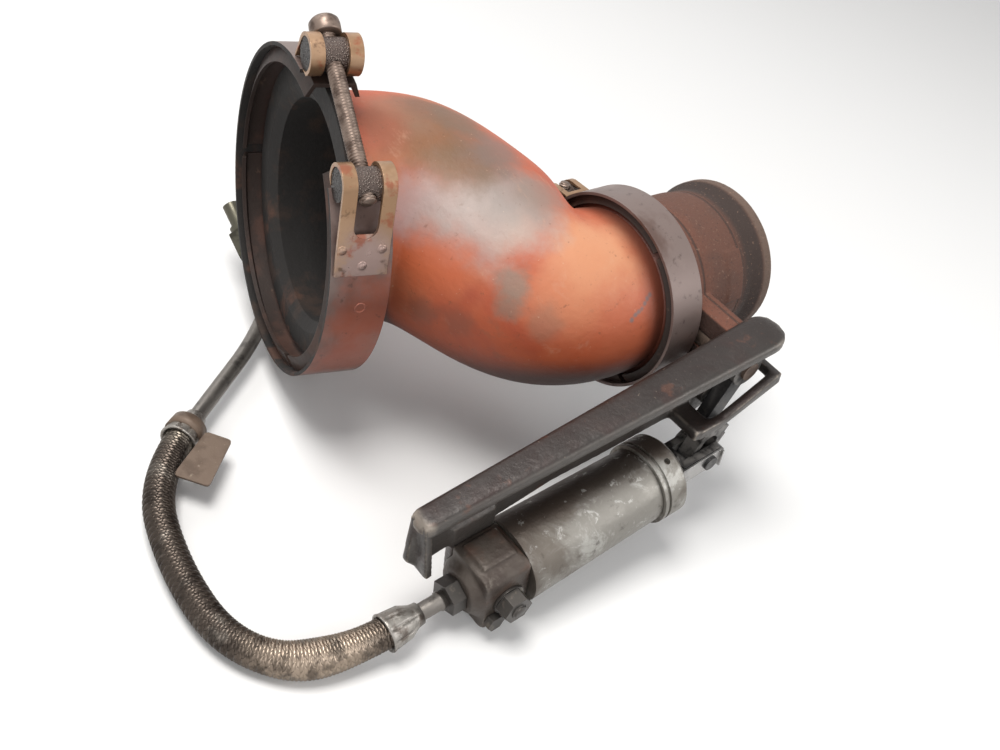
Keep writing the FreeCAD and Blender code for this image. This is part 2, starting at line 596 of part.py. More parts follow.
def make_clamp(prefix, frame, band_outer, width, gauge, angles, roots, trunnion_r, bolt_r, segments, vee_inner,
               loop_start):
    """A whole T-bolt clamp. Angles are degrees from the -Y side towards +Z."""
    inner = band_outer - gauge
    lower, upper = angles
    loop_width = width - 4.0
    # The band runs the long way round from the upper root to the lower root.
    long_way = 360.0 - (upper - lower)
    band = sector(prefix + "_band_ring", upper, upper + long_way, 0, width, inner, band_outer)
    node(frame.seat(fuse(prefix + "_band_solid", band)), prefix + "_band")
    pieces = []
    share = (long_way + 16.0) / segments
    for index in range(segments):
        start = upper - 8.0 + index * share + 2.0
        pieces.append(vee("%s_vee_%d" % (prefix, index), start, start + share - 4.0, width,
                          vee_inner, inner - 0.02, 2.0))
    for index, piece in enumerate(pieces):
        node(frame.seat(fuse("%s_vee_solid_%d" % (prefix, index), piece)), "%s_retainer_%d" % (prefix, index + 1))
    ring_outer = trunnion_r + gauge + 0.15
    slot_half = bolt_r + 1.6
    names = ("lower", "upper")
    spots = []
    for name, angle, root in zip(names, (lower, upper), roots):
        shape = loop_shape(angle, root, band_outer + 0.02, gauge, ring_outer, loop_width)
        shape.translate(V(loop_start, 0, 0))
        centre = radial(angle, band_outer + 0.02 - gauge + ring_outer, loop_start + loop_width / 2)
        spots.append(centre)
        feature = doc.addObject("Part::Feature", "%s_%s_loop_strip" % (prefix, name))
        feature.Shape = shape
        # A slot for the bolt: full depth towards the gap, only above the band towards the root
        root_run = math.radians(abs(root - angle)) * band_outer
        slot_run = 0.6 * root_run if root_run > 30.0 else 2.0 * root_run
        slot_floor = gauge * 1.4
        open_length, open_depth = 40.0, 50.0
        seat = frame_at(angle, band_outer, loop_start + loop_width / 2)
        open_side = box("%s_%s_slot_open" % (prefix, name), slot_half * 2, open_depth, open_length, (0, 0, 0))
        open_side.Placement = seat.multiply(FreeCAD.Placement(
            V(-slot_half, -open_depth / 2, 0 if name == "lower" else -open_length), FreeCAD.Rotation()))
        root_side = box("%s_%s_slot_root" % (prefix, name), slot_half * 2, open_depth, slot_run + 1, (0, 0, 0))
        root_side.Placement = seat.multiply(FreeCAD.Placement(
            V(-slot_half, -open_depth - slot_floor, -slot_run if name == "lower" else -1), FreeCAD.Rotation()))
        window = fuse("%s_%s_slot" % (prefix, name), open_side, root_side)
        node(frame.seat(cut("%s_%s_loop_cut" % (prefix, name), feature, window)), "%s_%s_loop" % (prefix, name))
    reach = spots[1].sub(spots[0])
    along = V(reach)
    along.normalize()
    for name, spot in zip(names, spots):
        barrel = rod("%s_%s_barrel" % (prefix, name), trunnion_r, loop_width - 0.6, (loop_start + 0.3, spot.y, spot.z))
        hole_start = spot.sub(V(along).multiply(20))
        hole = rod("%s_%s_barrel_hole" % (prefix, name), bolt_r + 0.04, 40, (hole_start.x, hole_start.y, hole_start.z),
                   along)
        node(frame.seat(cut("%s_%s_barrel_cut" % (prefix, name), barrel, hole)), "%s_%s_trunnion" % (prefix, name))
    tail = spots[0].sub(V(along).multiply(trunnion_r + 2.0))
    bolt_length = reach.Length + 2.0 * trunnion_r + 12.0
    stem = rod(prefix + "_bolt_stem", bolt_r, bolt_length, (tail.x, tail.y, tail.z), along)
    node(frame.seat(fuse(prefix + "_bolt_solid", stem)), prefix + "_t_bolt")
    seat_spot = spots[1].add(V(along).multiply(ring_outer + 0.05))
    nut = cut(prefix + "_nut_cut",
              fuse(prefix + "_nut_solid",
                   hexagon(prefix + "_nut_hex", bolt_r * 3.2, bolt_r * 1.35, tuple(seat_spot), along),
                   rod(prefix + "_nut_sleeve", bolt_r * 1.45, bolt_r * 0.8,
                       tuple(seat_spot.add(V(along).multiply(bolt_r * 1.15))), along)),
              rod(prefix + "_nut_bore", bolt_r, bolt_r * 8, tuple(seat_spot.sub(V(along).multiply(2))), along))
    node(frame.seat(nut), prefix + "_nut")
    return spots


# Tubes and hose
def tube_path(points):
    """Straight runs joined by tangent arcs; returns the wire and the arc radii."""
    edges = []
    radii = []
    start = points[0]
    for index in range(1, len(points) - 1):
        before, corner, after = points[index - 1], points[index], points[index + 1]
        enter = corner.sub(before)
        leave = after.sub(corner)
        shorter = min(enter.Length, leave.Length)
        turn = enter.getAngle(leave)
        trim = 0.45 * shorter
        radii.append(trim / math.tan(turn / 2.0))
        enter.normalize()
        leave.normalize()
        arc_start = corner.sub(V(enter).multiply(trim))
        arc_end = corner.add(V(leave).multiply(trim))
        inward = V(leave).sub(enter)
        inward.normalize()
        middle = corner.add(inward.multiply(radii[-1] / math.cos(turn / 2.0) - radii[-1]))
        edges.append(Part.LineSegment(start, arc_start).toShape())
        edges.append(Part.Arc(arc_start, middle, arc_end).toShape())
        start = arc_end
    edges.append(Part.LineSegment(start, points[-1]).toShape())
    return Part.Wire(edges), radii


def tube(name, points, radius):
    wire, radii = tube_path(points)
    direction = points[1].sub(points[0])
    profile = circle_wire(points[0], direction, radius)
    shape = wire.makePipeShell([profile], True, True)
    obj = doc.addObject("Part::Feature", name + "_run")
    obj.Shape = shape
    expected = math.pi * radius ** 2 * wire.Length
    print("%s length %.1f volume ratio %.4f radii %s" % (
        name, wire.Length, shape.Volume / expected, [round(r, 1) for r in radii]))
    return node(VALVE.seat(fuse(name + "_solid", obj)), name)


hose_points = [RAM.world(-174.6, 0, 0), RAM.world(-213.3, 0, 0), V(-308.5, -51.5, -83.5), V(-310, -5, -83),
               V(-297.2, 45.1, -80.6), V(-267, 66.5, -80)]


def make_air_line():
    ram_dir = RAM.turn.multVec(X_AXIS)
    hose_r = dims["hose_radius"]
    tube_r = dims["tube_radius"]
    # Inlet fitting and steel tube along the cylinder axis
    inlet = fuse("inlet_solid", hexagon("inlet_hex", 15, 7, (-153.6, 0, 0)), rod("inlet_stem", 4.25, 6, (-146.7, 0, 0)))
    inlet = cut("inlet_cut", inlet, rod("inlet_bore", dim("tube_radius"), 8, (-154.4, 0, 0)))
    node(RAM.seat(inlet), "inlet_nut")
    start = RAM.world(-148, 0, 0)
    end = RAM.world(-166, 0, 0)
    line = rod("tube_a_rod", dim("tube_radius"), end.sub(start).Length, (-148, 0, 0), V(-1, 0, 0))
    node(RAM.seat(fuse("tube_a_solid", line)), "air_tube_a")
    ferrules = (
        ("ferrule_a", end, hose_points[0], hose_points[1]),
        ("ferrule_b", hose_points[-1] + (hose_points[-1] - hose_points[-2]).normalize().multiply(16),
         hose_points[-1], hose_points[-2]),
    )
    ends = []
    for name, outer_end, joint, along in ferrules:
        into = (along - joint).normalize()
        back = joint - V(into).multiply(3)
        sleeve = rod(name + "_sleeve", hose_r + 1.7, 13, tuple(back), into)
        collar_len = (back - outer_end).Length + 3
        collar = rod(name + "_collar", tube_r + 2.4, collar_len, tuple(outer_end - V(into).multiply(3)), into)
        solid = fuse(name + "_solid", sleeve, collar)
        cuts = [rod(name + "_hose_seat", hose_r, 14, tuple(joint), into),
                rod(name + "_tube_seat", tube_r, collar_len + 9, tuple(outer_end - V(into).multiply(5)), into)]
        node(VALVE.seat(cut(name + "_cut", solid, *cuts)), name)
        ends.append(outer_end)
    tube("braided_hose", hose_points, hose_r)
    away = (hose_points[-1] - hose_points[-2]).normalize()
    tube_start = hose_points[-1] + V(away).multiply(8)
    corner = hose_points[-1] + V(away).multiply(70)
    tube("air_tube_b", [tube_start, corner, V(-180, 137, -77.5), V(-180, 168, -63)], tube_r)
    last = (V(-180, 168, -63) - V(-180, 137, -77.5)).normalize()
    seat = V(-180, 168, -63) - V(last).multiply(8)
    union = cut("union_cut", hexagon("union_hex", 15, 14, tuple(seat), last),
                rod("union_bore", dim("tube_radius"), 12, tuple(seat - V(last).multiply(2)), last),
                rod("union_thread", 4.4, 6, tuple(seat + V(last).multiply(9)), last))
    node(VALVE.seat(union), "union_nut")
    nipple_at = seat + V(last).multiply(9.2)
    nipple = cut("nipple_cut", fuse("nipple_solid", rod("nipple_rod", 4.35, 22, tuple(nipple_at), last),
                                    rod("nipple_shoulder", 6.0, 3.5, tuple(nipple_at + V(last).multiply(5)), last)),
                 rod("nipple_bore", 2.2, 24, tuple(nipple_at - V(last).multiply(1)), last))
    node(VALVE.seat(nipple), "inlet_nipple")
    # Tag plate on a band round the far ferrule
    middle = hose_points[-1] - V(away).multiply(6)
    tag_frame = FreeCAD.Placement(middle, FreeCAD.Rotation(X_AXIS, away))
    band = cut("tag_band", rod("tag_band_out", hose_r + 2.5, 7, (-3.5, 0, 0)),
               rod("tag_band_in", hose_r + 1.7, 9, (-4.5, 0, 0)))
    leaf = box("tag_leaf", 21, 19, 1.0, (-8, -18.2, 2.4))
    tag = fuse("tag_solid", band, leaf)
    tag.Placement = tag_frame
    node(tag, "tag_plate")


make_housing()
make_valve()
make_lever()
make_bracket()
make_cylinder()
make_elbow()
make_clamp("mouth", MOUTH, dims["mouth_band_radius"], dims["mouth_band_width"], 1.8,
           (43.0, 87.0), (15.5, 95.5), 7.4, 4.0, 3, 70.0, 1.0)
make_clamp("neck", NECK, dims["neck_band_radius"], dims["neck_band_width"], 1.5,
           (158.0, 212.0), (146.0, 224.0), 5.6, 3.0, 3, 43.6, 3.4)
make_air_line()

doc.recompute()
for obj in doc.Objects:
    for state in obj.State:
        if state in ("Invalid", "Error"):
            raise RuntimeError("%s is %s" % (obj.Name, state))
for name, obj in nodes:
    if obj.Shape.isNull() or not obj.Shape.isValid():
        raise RuntimeError("%s has a bad shape" % name)

os.makedirs("parts", exist_ok=True)
for name, obj in nodes:
    obj.Shape.exportStep("parts/%s.step" % name)
    size = obj.Shape.BoundBox
    print("%-20s solids %d volume %9.0f  x %.0f..%.0f y %.0f..%.0f z %.1f..%.1f" % (
        name, len(obj.Shape.Solids), obj.Shape.Volume, size.XMin, size.XMax, size.YMin, size.YMax,
        size.ZMin, size.ZMax))
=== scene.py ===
import json
import math

import bpy
from mathutils import Matrix, Vector
from mathutils.bvhtree import BVHTree


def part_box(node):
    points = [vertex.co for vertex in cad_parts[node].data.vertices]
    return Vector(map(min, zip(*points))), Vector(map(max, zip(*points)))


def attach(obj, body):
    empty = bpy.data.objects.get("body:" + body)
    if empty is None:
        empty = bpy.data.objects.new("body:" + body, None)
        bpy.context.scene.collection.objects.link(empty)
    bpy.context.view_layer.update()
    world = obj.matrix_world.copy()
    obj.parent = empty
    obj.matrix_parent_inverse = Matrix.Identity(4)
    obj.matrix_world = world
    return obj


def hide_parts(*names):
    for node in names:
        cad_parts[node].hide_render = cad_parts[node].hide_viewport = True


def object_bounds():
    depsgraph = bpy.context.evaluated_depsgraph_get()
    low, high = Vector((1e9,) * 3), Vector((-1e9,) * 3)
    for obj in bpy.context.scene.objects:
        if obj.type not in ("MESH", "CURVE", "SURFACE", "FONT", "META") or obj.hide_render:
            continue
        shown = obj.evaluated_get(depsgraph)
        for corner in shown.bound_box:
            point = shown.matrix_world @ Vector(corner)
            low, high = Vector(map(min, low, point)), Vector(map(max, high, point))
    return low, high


# Exhaust brake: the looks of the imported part. Metres, with +X out of the turbo flange and +Z up.

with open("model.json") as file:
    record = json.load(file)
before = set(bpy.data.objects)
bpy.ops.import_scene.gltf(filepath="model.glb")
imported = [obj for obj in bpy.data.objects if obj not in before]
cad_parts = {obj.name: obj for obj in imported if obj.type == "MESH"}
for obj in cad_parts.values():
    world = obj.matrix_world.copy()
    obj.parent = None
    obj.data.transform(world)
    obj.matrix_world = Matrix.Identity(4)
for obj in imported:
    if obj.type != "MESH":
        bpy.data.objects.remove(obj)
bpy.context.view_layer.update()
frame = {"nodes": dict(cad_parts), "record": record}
nodes = frame["nodes"]
scene = bpy.context.scene

# Camera, fitted to the photo
IMAGE_WIDTH, IMAGE_HEIGHT = 1000, 750
FOCAL_PIXELS = 1200.0
SENSOR = 36.0
CAMERA_PLACE = Vector((-0.4808, -0.29279, 0.34032))
CAMERA_TURN = math.radians(-49.555)
CAMERA_RISE = math.radians(39.908)
CAMERA_ROLL = math.radians(17.326)


def camera_axes():
    right = Vector((math.cos(CAMERA_TURN), math.sin(CAMERA_TURN), 0))
    back = Vector((math.sin(CAMERA_TURN) * math.cos(CAMERA_RISE),
                   -math.cos(CAMERA_TURN) * math.cos(CAMERA_RISE), math.sin(CAMERA_RISE)))
    up = back.cross(right)
    turned_right = math.cos(CAMERA_ROLL) * right + math.sin(CAMERA_ROLL) * up
    turned_up = -math.sin(CAMERA_ROLL) * right + math.cos(CAMERA_ROLL) * up
    return turned_right, turned_up, back


def make_camera():
    data = bpy.data.cameras.new("camera")
    data.sensor_width = SENSOR
    data.lens = FOCAL_PIXELS / IMAGE_WIDTH * SENSOR
    camera = bpy.data.objects.new("camera", data)
    scene.collection.objects.link(camera)
    right, up, back = camera_axes()
    turn = Matrix((right, up, back)).transposed().to_4x4()
    camera.matrix_world = Matrix.Translation(CAMERA_PLACE) @ turn
    data.clip_start = 0.01
    data.clip_end = 50.0
    scene.camera = camera


make_camera()


# Places on the part, found from where they show in the photo
trees = {}


def pixel_ray(pixel_x, pixel_y):
    right, up, back = camera_axes()
    ray = right * (pixel_x - IMAGE_WIDTH / 2) - up * (pixel_y - IMAGE_HEIGHT / 2) - back * FOCAL_PIXELS
    return ray.normalized()


def on_node(name, pixel_x, pixel_y):
    """The point of a CAD node that shows at a pixel of the photo, and its normal."""
    if name not in trees:
        mesh = nodes[name].data
        trees[name] = BVHTree.FromPolygons([v.co for v in mesh.vertices], [p.vertices for p in mesh.polygons])
    return trees[name].ray_cast(CAMERA_PLACE, pixel_ray(pixel_x, pixel_y))[:2]


def centre(name):
    low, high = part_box(name)
    return (low + high) / 2


# Mesh helpers
def new_mesh(name, points, faces, smooth=True):
    mesh = bpy.data.meshes.new(name)
    mesh.from_pydata([tuple(p) for p in points], [], faces)
    for polygon in mesh.polygons:
        polygon.use_smooth = smooth
    mesh.update()
    obj = bpy.data.objects.new(name, mesh)
    scene.collection.objects.link(obj)
    return obj


def grid_faces(rows, columns, closed=True, offset=0):
    faces = []
    last = columns if closed else columns - 1
    for row in range(rows - 1):
        for column in range(last):
            a = offset + row * columns + column
            b = offset + row * columns + (column + 1) % columns
            faces.append((a, b, b + columns, a + columns))
    return faces


def side_axes(direction):
    """Two unit vectors at right angles to a direction."""
    first = direction.cross(Vector((0, 0, 1)))
    if first.length < 0.1:
        first = direction.cross(Vector((0, 1, 0)))
    first.normalize()
    return first, direction.cross(first).normalized()


def lathe(name, place, axis, profile, columns=48):
    """A turned mesh from points of (along, radius)."""
    axis = axis.normalized()
    first, second = side_axes(axis)
    points = []
    for along, radius in profile:
        for column in range(columns):
            angle = 2 * math.pi * column / columns
            outward = math.cos(angle) * first + math.sin(angle) * second
            points.append(place + axis * along + outward * radius)
    faces = grid_faces(len(profile), columns)
    faces.append(tuple(range(columns))[::-1])
    faces.append(tuple((len(profile) - 1) * columns + column for column in range(columns)))
    return new_mesh(name, points, faces)


def add_piece(obj, body, slot_name, material, *replaced):
    """Give a piece its material, the body that it rides on and the nodes that it stands for."""
    obj.data.materials.append(material)
    if replaced:
        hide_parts(*replaced)
    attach(obj, body)
    return obj


# Materials
class Paint:
    """A procedural material: colours are mixed by noise and by place, in metres."""

    def __init__(self, name, colour, roughness=0.5, metallic=0.0, edge=0.0004):
        self.material = bpy.data.materials.new(name)
        self.material.use_nodes = True
        self.tree = self.material.node_tree
        self.shader = self.tree.nodes["Principled BSDF"]
        self.shader.inputs["Metallic"].default_value = metallic
        self.coords = self.node("ShaderNodeTexCoord").outputs["Object"]
        self.colour = self.rgb(colour)
        self.roughness = roughness
        self.rough_socket = None
        self.edge = edge
        self.height = None

    def node(self, kind, **values):
        made = self.tree.nodes.new(kind)
        for key, value in values.items():
            setattr(made, key, value)
        return made

    def link(self, source, target):
        self.tree.links.new(source, target)

    def rgb(self, colour):
        made = self.node("ShaderNodeRGB")
        made.outputs[0].default_value = (*colour, 1.0)
        return made.outputs[0]

    def math(self, operation, a, b=0.0):
        made = self.node("ShaderNodeMath", operation=operation)
        for index, value in enumerate((a, b)):
            if isinstance(value, (int, float)):
                made.inputs[index].default_value = value
            else:
                self.link(value, made.inputs[index])
        return made.outputs[0]

    def stretched(self, scale):
        made = self.node("ShaderNodeMapping")
        made.inputs["Scale"].default_value = scale
        self.link(self.coords, made.inputs["Vector"])
        return made.outputs[0]

    def noise(self, scale, detail=6.0, roughness=0.6, distortion=0.0, stretch=None):
        made = self.node("ShaderNodeTexNoise")
        made.inputs["Scale"].default_value = scale
        made.inputs["Detail"].default_value = detail
        made.inputs["Roughness"].default_value = roughness
        made.inputs["Distortion"].default_value = distortion
        self.link(self.stretched(stretch) if stretch else self.coords, made.inputs["Vector"])
        return made.outputs["Fac"]

    def cells(self, scale):
        made = self.node("ShaderNodeTexVoronoi", feature="F1")
        made.inputs["Scale"].default_value = scale
        self.link(self.coords, made.inputs["Vector"])
        return made.outputs["Distance"]

    def between(self, value, low, high):
        """0 below low, 1 above high, smooth in between; low may be the larger."""
        made = self.node("ShaderNodeMapRange", interpolation_type="SMOOTHSTEP")
        self.link(value, made.inputs["Value"])
        made.inputs["From Min"].default_value = low
        made.inputs["From Max"].default_value = high
        return made.outputs["Result"]

    def near(self, place, radius, ragged=0.35):
        """1 at a place and 0 beyond the radius, with a ragged rim."""
        away = self.node("ShaderNodeVectorMath", operation="DISTANCE")
        self.link(self.coords, away.inputs[0])
        away.inputs[1].default_value = place
        wander = self.math("SUBTRACT", self.noise(0.9 / radius, 8.0), 0.5)
        rough = self.math("MULTIPLY", wander, radius * ragged * 2.4)
        return self.between(self.math("ADD", away.outputs["Value"], rough), radius, radius * 0.25)

    def axis_part(self, axis):
        made = self.node("ShaderNodeSeparateXYZ")
        self.link(self.coords, made.inputs[0])
        return made.outputs[axis]

    def facing(self, direction, low, high):
        """1 where the surface faces a direction."""
        geometry = self.node("ShaderNodeNewGeometry")
        dot = self.node("ShaderNodeVectorMath", operation="DOT_PRODUCT")
        self.link(geometry.outputs["Normal"], dot.inputs[0])
        dot.inputs[1].default_value = Vector(direction).normalized()
        return self.between(dot.outputs["Value"], low, high)

    def cover(self, colour, amount, strength=1.0):
        """Lay a colour over what is there."""
        if strength != 1.0:
            amount = self.math("MULTIPLY", amount, strength)
        made = self.node("ShaderNodeMix", data_type="RGBA")
        self.link(amount, made.inputs[0])
        self.link(self.colour, made.inputs[6])
        if isinstance(colour, tuple):
            made.inputs[7].default_value = (*colour, 1.0)
        else:
            self.link(colour, made.inputs[7])
        self.colour = made.outputs[2]

    def patch(self, colour, node_name, pixel, radius, strength, ragged=0.35):
        """Lay a colour round the place where a CAD node shows at a pixel of the photo."""
        place = on_node(node_name, *pixel)[0]
        if place:
            self.cover(colour, self.near(place, radius, ragged), strength)

    def vary_roughness(self, value, low, high):
        made = self.node("ShaderNodeMapRange")
        self.link(value, made.inputs["Value"])
        made.inputs["To Min"].default_value = low
        made.inputs["To Max"].default_value = high
        made.inputs["From Min"].default_value = 0.3
        made.inputs["From Max"].default_value = 0.7
        self.rough_socket = made.outputs["Result"]

    def raise_by(self, value, height):
        """Add relief: value times a height in metres."""
        part = self.math("MULTIPLY", value, height)
        self.height = part if self.height is None else self.math("ADD", self.height, part)

    def worn_edges(self, colour, strength=0.8, low=0.52, high=0.60):
        geometry = self.node("ShaderNodeNewGeometry")
        broken = self.math("MULTIPLY", self.between(geometry.outputs["Pointiness"], low, high),
                           self.between(self.noise(160.0), 0.35, 0.6))
        self.cover(colour, broken, strength)

    def done(self):
        self.link(self.colour, self.shader.inputs["Base Color"])
        if self.rough_socket:
            self.link(self.rough_socket, self.shader.inputs["Roughness"])
        else:
            self.shader.inputs["Roughness"].default_value = self.roughness
        normal = None
        if self.edge:
            rounding = self.node("ShaderNodeBevel", samples=4)
            rounding.inputs["Radius"].default_value = self.edge
            normal = rounding.outputs["Normal"]
        if self.height is not None:
            bump = self.node("ShaderNodeBump")
            bump.inputs["Strength"].default_value = 1.0
            bump.inputs["Distance"].default_value = 1.0
            self.link(self.height, bump.inputs["Height"])
            if normal:
                self.link(normal, bump.inputs["Normal"])
            normal = bump.outputs["Normal"]
        if normal:
            self.link(normal, self.shader.inputs["Normal"])
        return self.material


def elbow_paint():
    """Heat-scaled pipe: orange and red scale, grey and olive patches, a painted highlight and sheen on the
    tan and grey patches, and painted shade below.
    """
    paint = Paint("heat_scaled_steel", (0.47, 0.100, 0.038), 0.55, 0.0)
    paint.cover((0.36, 0.062, 0.028), paint.between(paint.noise(16.0, 6.0, 0.6, 0.6), 0.46, 0.66), 0.7)
    paint.cover((0.56, 0.22, 0.11), paint.between(paint.noise(11.0, 4.0, 0.5, 0.9), 0.52, 0.70), 0.6)
    # The pale peach patches at (600, 250) and (575, 300) are light tan scale with a painted highlight, and
    # the grey patches from (415, 205) to (540, 195) are grey heat tint with a painted sheen.
    # Photo pixel, reach in metres, colour and strength
    tint_and_highlight_patches = [
        ((600, 250), 0.034, (0.62, 0.30, 0.165), 0.85),
        ((575, 300), 0.030, (0.60, 0.24, 0.12), 0.6),
        ((620, 330), 0.026, (0.50, 0.13, 0.06), 0.6),
        ((415, 205), 0.022, (0.33, 0.23, 0.22), 0.8),
        ((440, 215), 0.024, (0.36, 0.26, 0.24), 0.8),
        ((480, 215), 0.030, (0.40, 0.33, 0.30), 0.85),
        ((525, 225), 0.024, (0.43, 0.33, 0.28), 0.8),
        ((510, 195), 0.026, (0.27, 0.23, 0.21), 0.8),
        ((540, 195), 0.020, (0.24, 0.18, 0.15), 0.7),
        ((430, 140), 0.030, (0.17, 0.085, 0.035), 0.85),
        ((465, 160), 0.026, (0.15, 0.080, 0.038), 0.85),
        ((400, 110), 0.024, (0.22, 0.12, 0.075), 0.7),
        ((490, 150), 0.024, (0.17, 0.12, 0.10), 0.8),
        ((385, 165), 0.016, (0.30, 0.10, 0.04), 0.6),
        ((378, 125), 0.020, (0.24, 0.070, 0.032), 0.85),
        ((425, 105), 0.020, (0.17, 0.085, 0.050), 0.85),
        ((455, 118), 0.020, (0.16, 0.095, 0.060), 0.8),
        ((430, 265), 0.026, (0.56, 0.13, 0.05), 0.8),
        ((400, 300), 0.020, (0.52, 0.16, 0.08), 0.6),
        ((515, 285), 0.012, (0.24, 0.19, 0.15), 0.75),
        ((508, 305), 0.010, (0.22, 0.16, 0.12), 0.7),
        ((420, 312), 0.012, (0.26, 0.085, 0.045), 0.7),
        ((455, 322), 0.012, (0.24, 0.075, 0.04), 0.6),
        ((545, 322), 0.012, (0.32, 0.16, 0.10), 0.5),
    ]
    for pixel, radius, colour, strength in tint_and_highlight_patches:
        paint.patch(colour, "elbow_pipe", pixel, radius, strength, 0.6)
    # Smears, fine speckle and scratches over the scale
    smear = paint.noise(60.0, 8.0, 0.7, 0.4, stretch=(1.0, 0.35, 1.0))
    paint.cover((0.20, 0.10, 0.06), paint.between(smear, 0.58, 0.72), 0.35)
    paint.cover((0.62, 0.36, 0.24), paint.between(smear, 0.42, 0.30), 0.25)
    paint.cover((0.13, 0.055, 0.025), paint.between(paint.noise(240.0, 8.0, 0.7), 0.60, 0.70), 0.5)
    paint.cover((0.66, 0.45, 0.32), paint.between(paint.noise(520.0, 3.0, 0.5), 0.70, 0.76), 0.3)
    scratch_start = on_node("elbow_pipe", 632, 320)[0]
    scratch_end = on_node("elbow_pipe", 650, 295)[0]
    if scratch_start and scratch_end:
        for share in (0.0, 0.17, 0.33, 0.5, 0.67, 0.83, 1.0):
            sway = Vector((0, 0, 0.0006 * math.sin(share * 9.0)))
            spot = scratch_start.lerp(scratch_end, share) + sway
            paint.cover((0.20, 0.14, 0.13), paint.near(spot, 0.0019, 0.3), 0.9)
    neck = paint.between(paint.axis_part("X"), -0.100, -0.084)
    paint.cover((0.075, 0.022, 0.014), neck, 0.9)
    # Painted shade on the faces turned down and towards the front.
    paint.cover((0.030, 0.012, 0.009), paint.facing((-0.27, -0.62, -0.73), 0.70, 0.95), 0.95)
    paint.vary_roughness(paint.noise(9.0, 5.0), 0.44, 0.62)
    paint.raise_by(paint.noise(24.0, 4.0), 0.0012)
    paint.raise_by(smear, 0.0003)
    paint.raise_by(paint.noise(400.0, 6.0, 0.6), 0.00014)
    return paint.done()


def soot_and_shade_inside(soot_and_shade):
    """Soot and painted shade on the faces that look at the pipe's centre line, out of its mouth or into the
    mouth clamp.
    """
    bore = [MOUTH @ Vector((0.010, 0, 0)), MOUTH @ Vector((0.039, 0, 0)), Vector((-0.143, 0.081, 0.0055)),
            Vector((-0.1285, 0.0485, 0.0035)), Vector((-0.115, 0.0155, 0.0005)), Vector((-0.096, 0.001, 0)),
            Vector((-0.070, 0, 0))]
    middles = [a.lerp(b, k / 6) for a, b in zip(bore, bore[1:]) for k in range(6)]
    mouth_inverse = MOUTH.inverted()
    elbow = nodes["elbow_pipe"]
    elbow.data.materials.append(soot_and_shade)
    for polygon in elbow.data.polygons:
        nearest = min(middles, key=lambda spot: (spot - polygon.center).length)
        looks_in = polygon.normal.dot(polygon.center - nearest) < 0
        if looks_in or (mouth_inverse @ polygon.center).x < LIP_DEPTH:
            polygon.material_index = 1
    band = nodes["mouth_band"]
    band.data.materials.append(soot_and_shade)
    for polygon in band.data.polygons:
        place = mouth_inverse @ polygon.center
        place.x = 0
        normal = mouth_inverse.to_3x3() @ polygon.normal
        if normal.dot(place.normalized()) < 0.5:
            polygon.material_index = 1


def soot_and_shade_paint():
    # Near-black soot with brown streaks, which on the bore and inside the mouth band also stands for painted
    # shade.
    paint = Paint("soot_and_shade", (0.010, 0.008, 0.007), 0.8)
    paint.cover((0.045, 0.026, 0.018), paint.between(paint.noise(45.0, 8.0), 0.50, 0.68), 0.8)
    streak = paint.between(paint.noise(35.0, 5.0), 0.56, 0.66)
    paint.cover((0.10, 0.045, 0.028), streak, 0.6)
    paint.raise_by(paint.noise(300.0, 8.0), 0.0003)
    return paint.done()


def band_paint():
    """Heat-tinted strap: pinkish grey, with orange and brown bloom."""
    paint = Paint("band_steel", (0.20, 0.150, 0.135), 0.42, 0.4)
    paint.cover((0.100, 0.055, 0.043), paint.between(paint.noise(18.0, 5.0, 0.6, 0.5), 0.46, 0.62), 0.8)
    paint.cover((0.32, 0.245, 0.22), paint.between(paint.noise(30.0, 6.0), 0.55, 0.72), 0.5)
    for pixel, radius in (((372, 320), 0.030), ((345, 355), 0.034)):
        paint.patch((0.34, 0.080, 0.038), "mouth_band", pixel, radius, 0.75, 0.8)
    paint.cover((0.05, 0.03, 0.025), paint.between(paint.noise(220.0, 6.0), 0.60, 0.70), 0.5)
    paint.vary_roughness(paint.noise(40.0), 0.34, 0.52)
    paint.raise_by(paint.noise(500.0, 4.0), 0.00006)
    return paint.done()


def sooty_paint():
    paint = Paint("sooty_steel", (0.030, 0.018, 0.014), 0.55, 0.2)
    paint.cover((0.085, 0.040, 0.028), paint.between(paint.noise(35.0, 7.0), 0.48, 0.66), 0.8)
    paint.cover((0.16, 0.10, 0.07), paint.between(paint.noise(90.0, 8.0, 0.7), 0.62, 0.72), 0.6)
    paint.raise_by(paint.noise(260.0, 8.0), 0.00018)
    return paint.done()


def loop_paint():
    paint = Paint("loop_steel", (0.33, 0.20, 0.115), 0.36, 0.7)
    paint.patch((0.36, 0.26, 0.24), "mouth_lower_loop", (362, 262), 0.024, 0.9, 0.3)
    paint.cover((0.42, 0.27, 0.17), paint.between(paint.noise(60.0, 5.0), 0.45, 0.6), 0.7)
    paint.cover((0.30, 0.085, 0.045), paint.between(paint.noise(75.0, 6.0), 0.56, 0.66), 0.75)
    paint.cover((0.07, 0.035, 0.022), paint.between(paint.noise(110.0, 7.0), 0.58, 0.68), 0.7)
    paint.vary_roughness(paint.noise(120.0), 0.26, 0.45)
    paint.raise_by(paint.noise(350.0), 0.00006)
    return paint.done()


def bolt_paint():
    paint = Paint("bolt_steel", (0.22, 0.165, 0.135), 0.38, 0.7, 0.0002)
    paint.cover((0.07, 0.045, 0.035), paint.between(paint.noise(150.0, 6.0), 0.45, 0.62), 0.8)
    paint.vary_roughness(paint.noise(200.0), 0.3, 0.5)
    return paint.done()


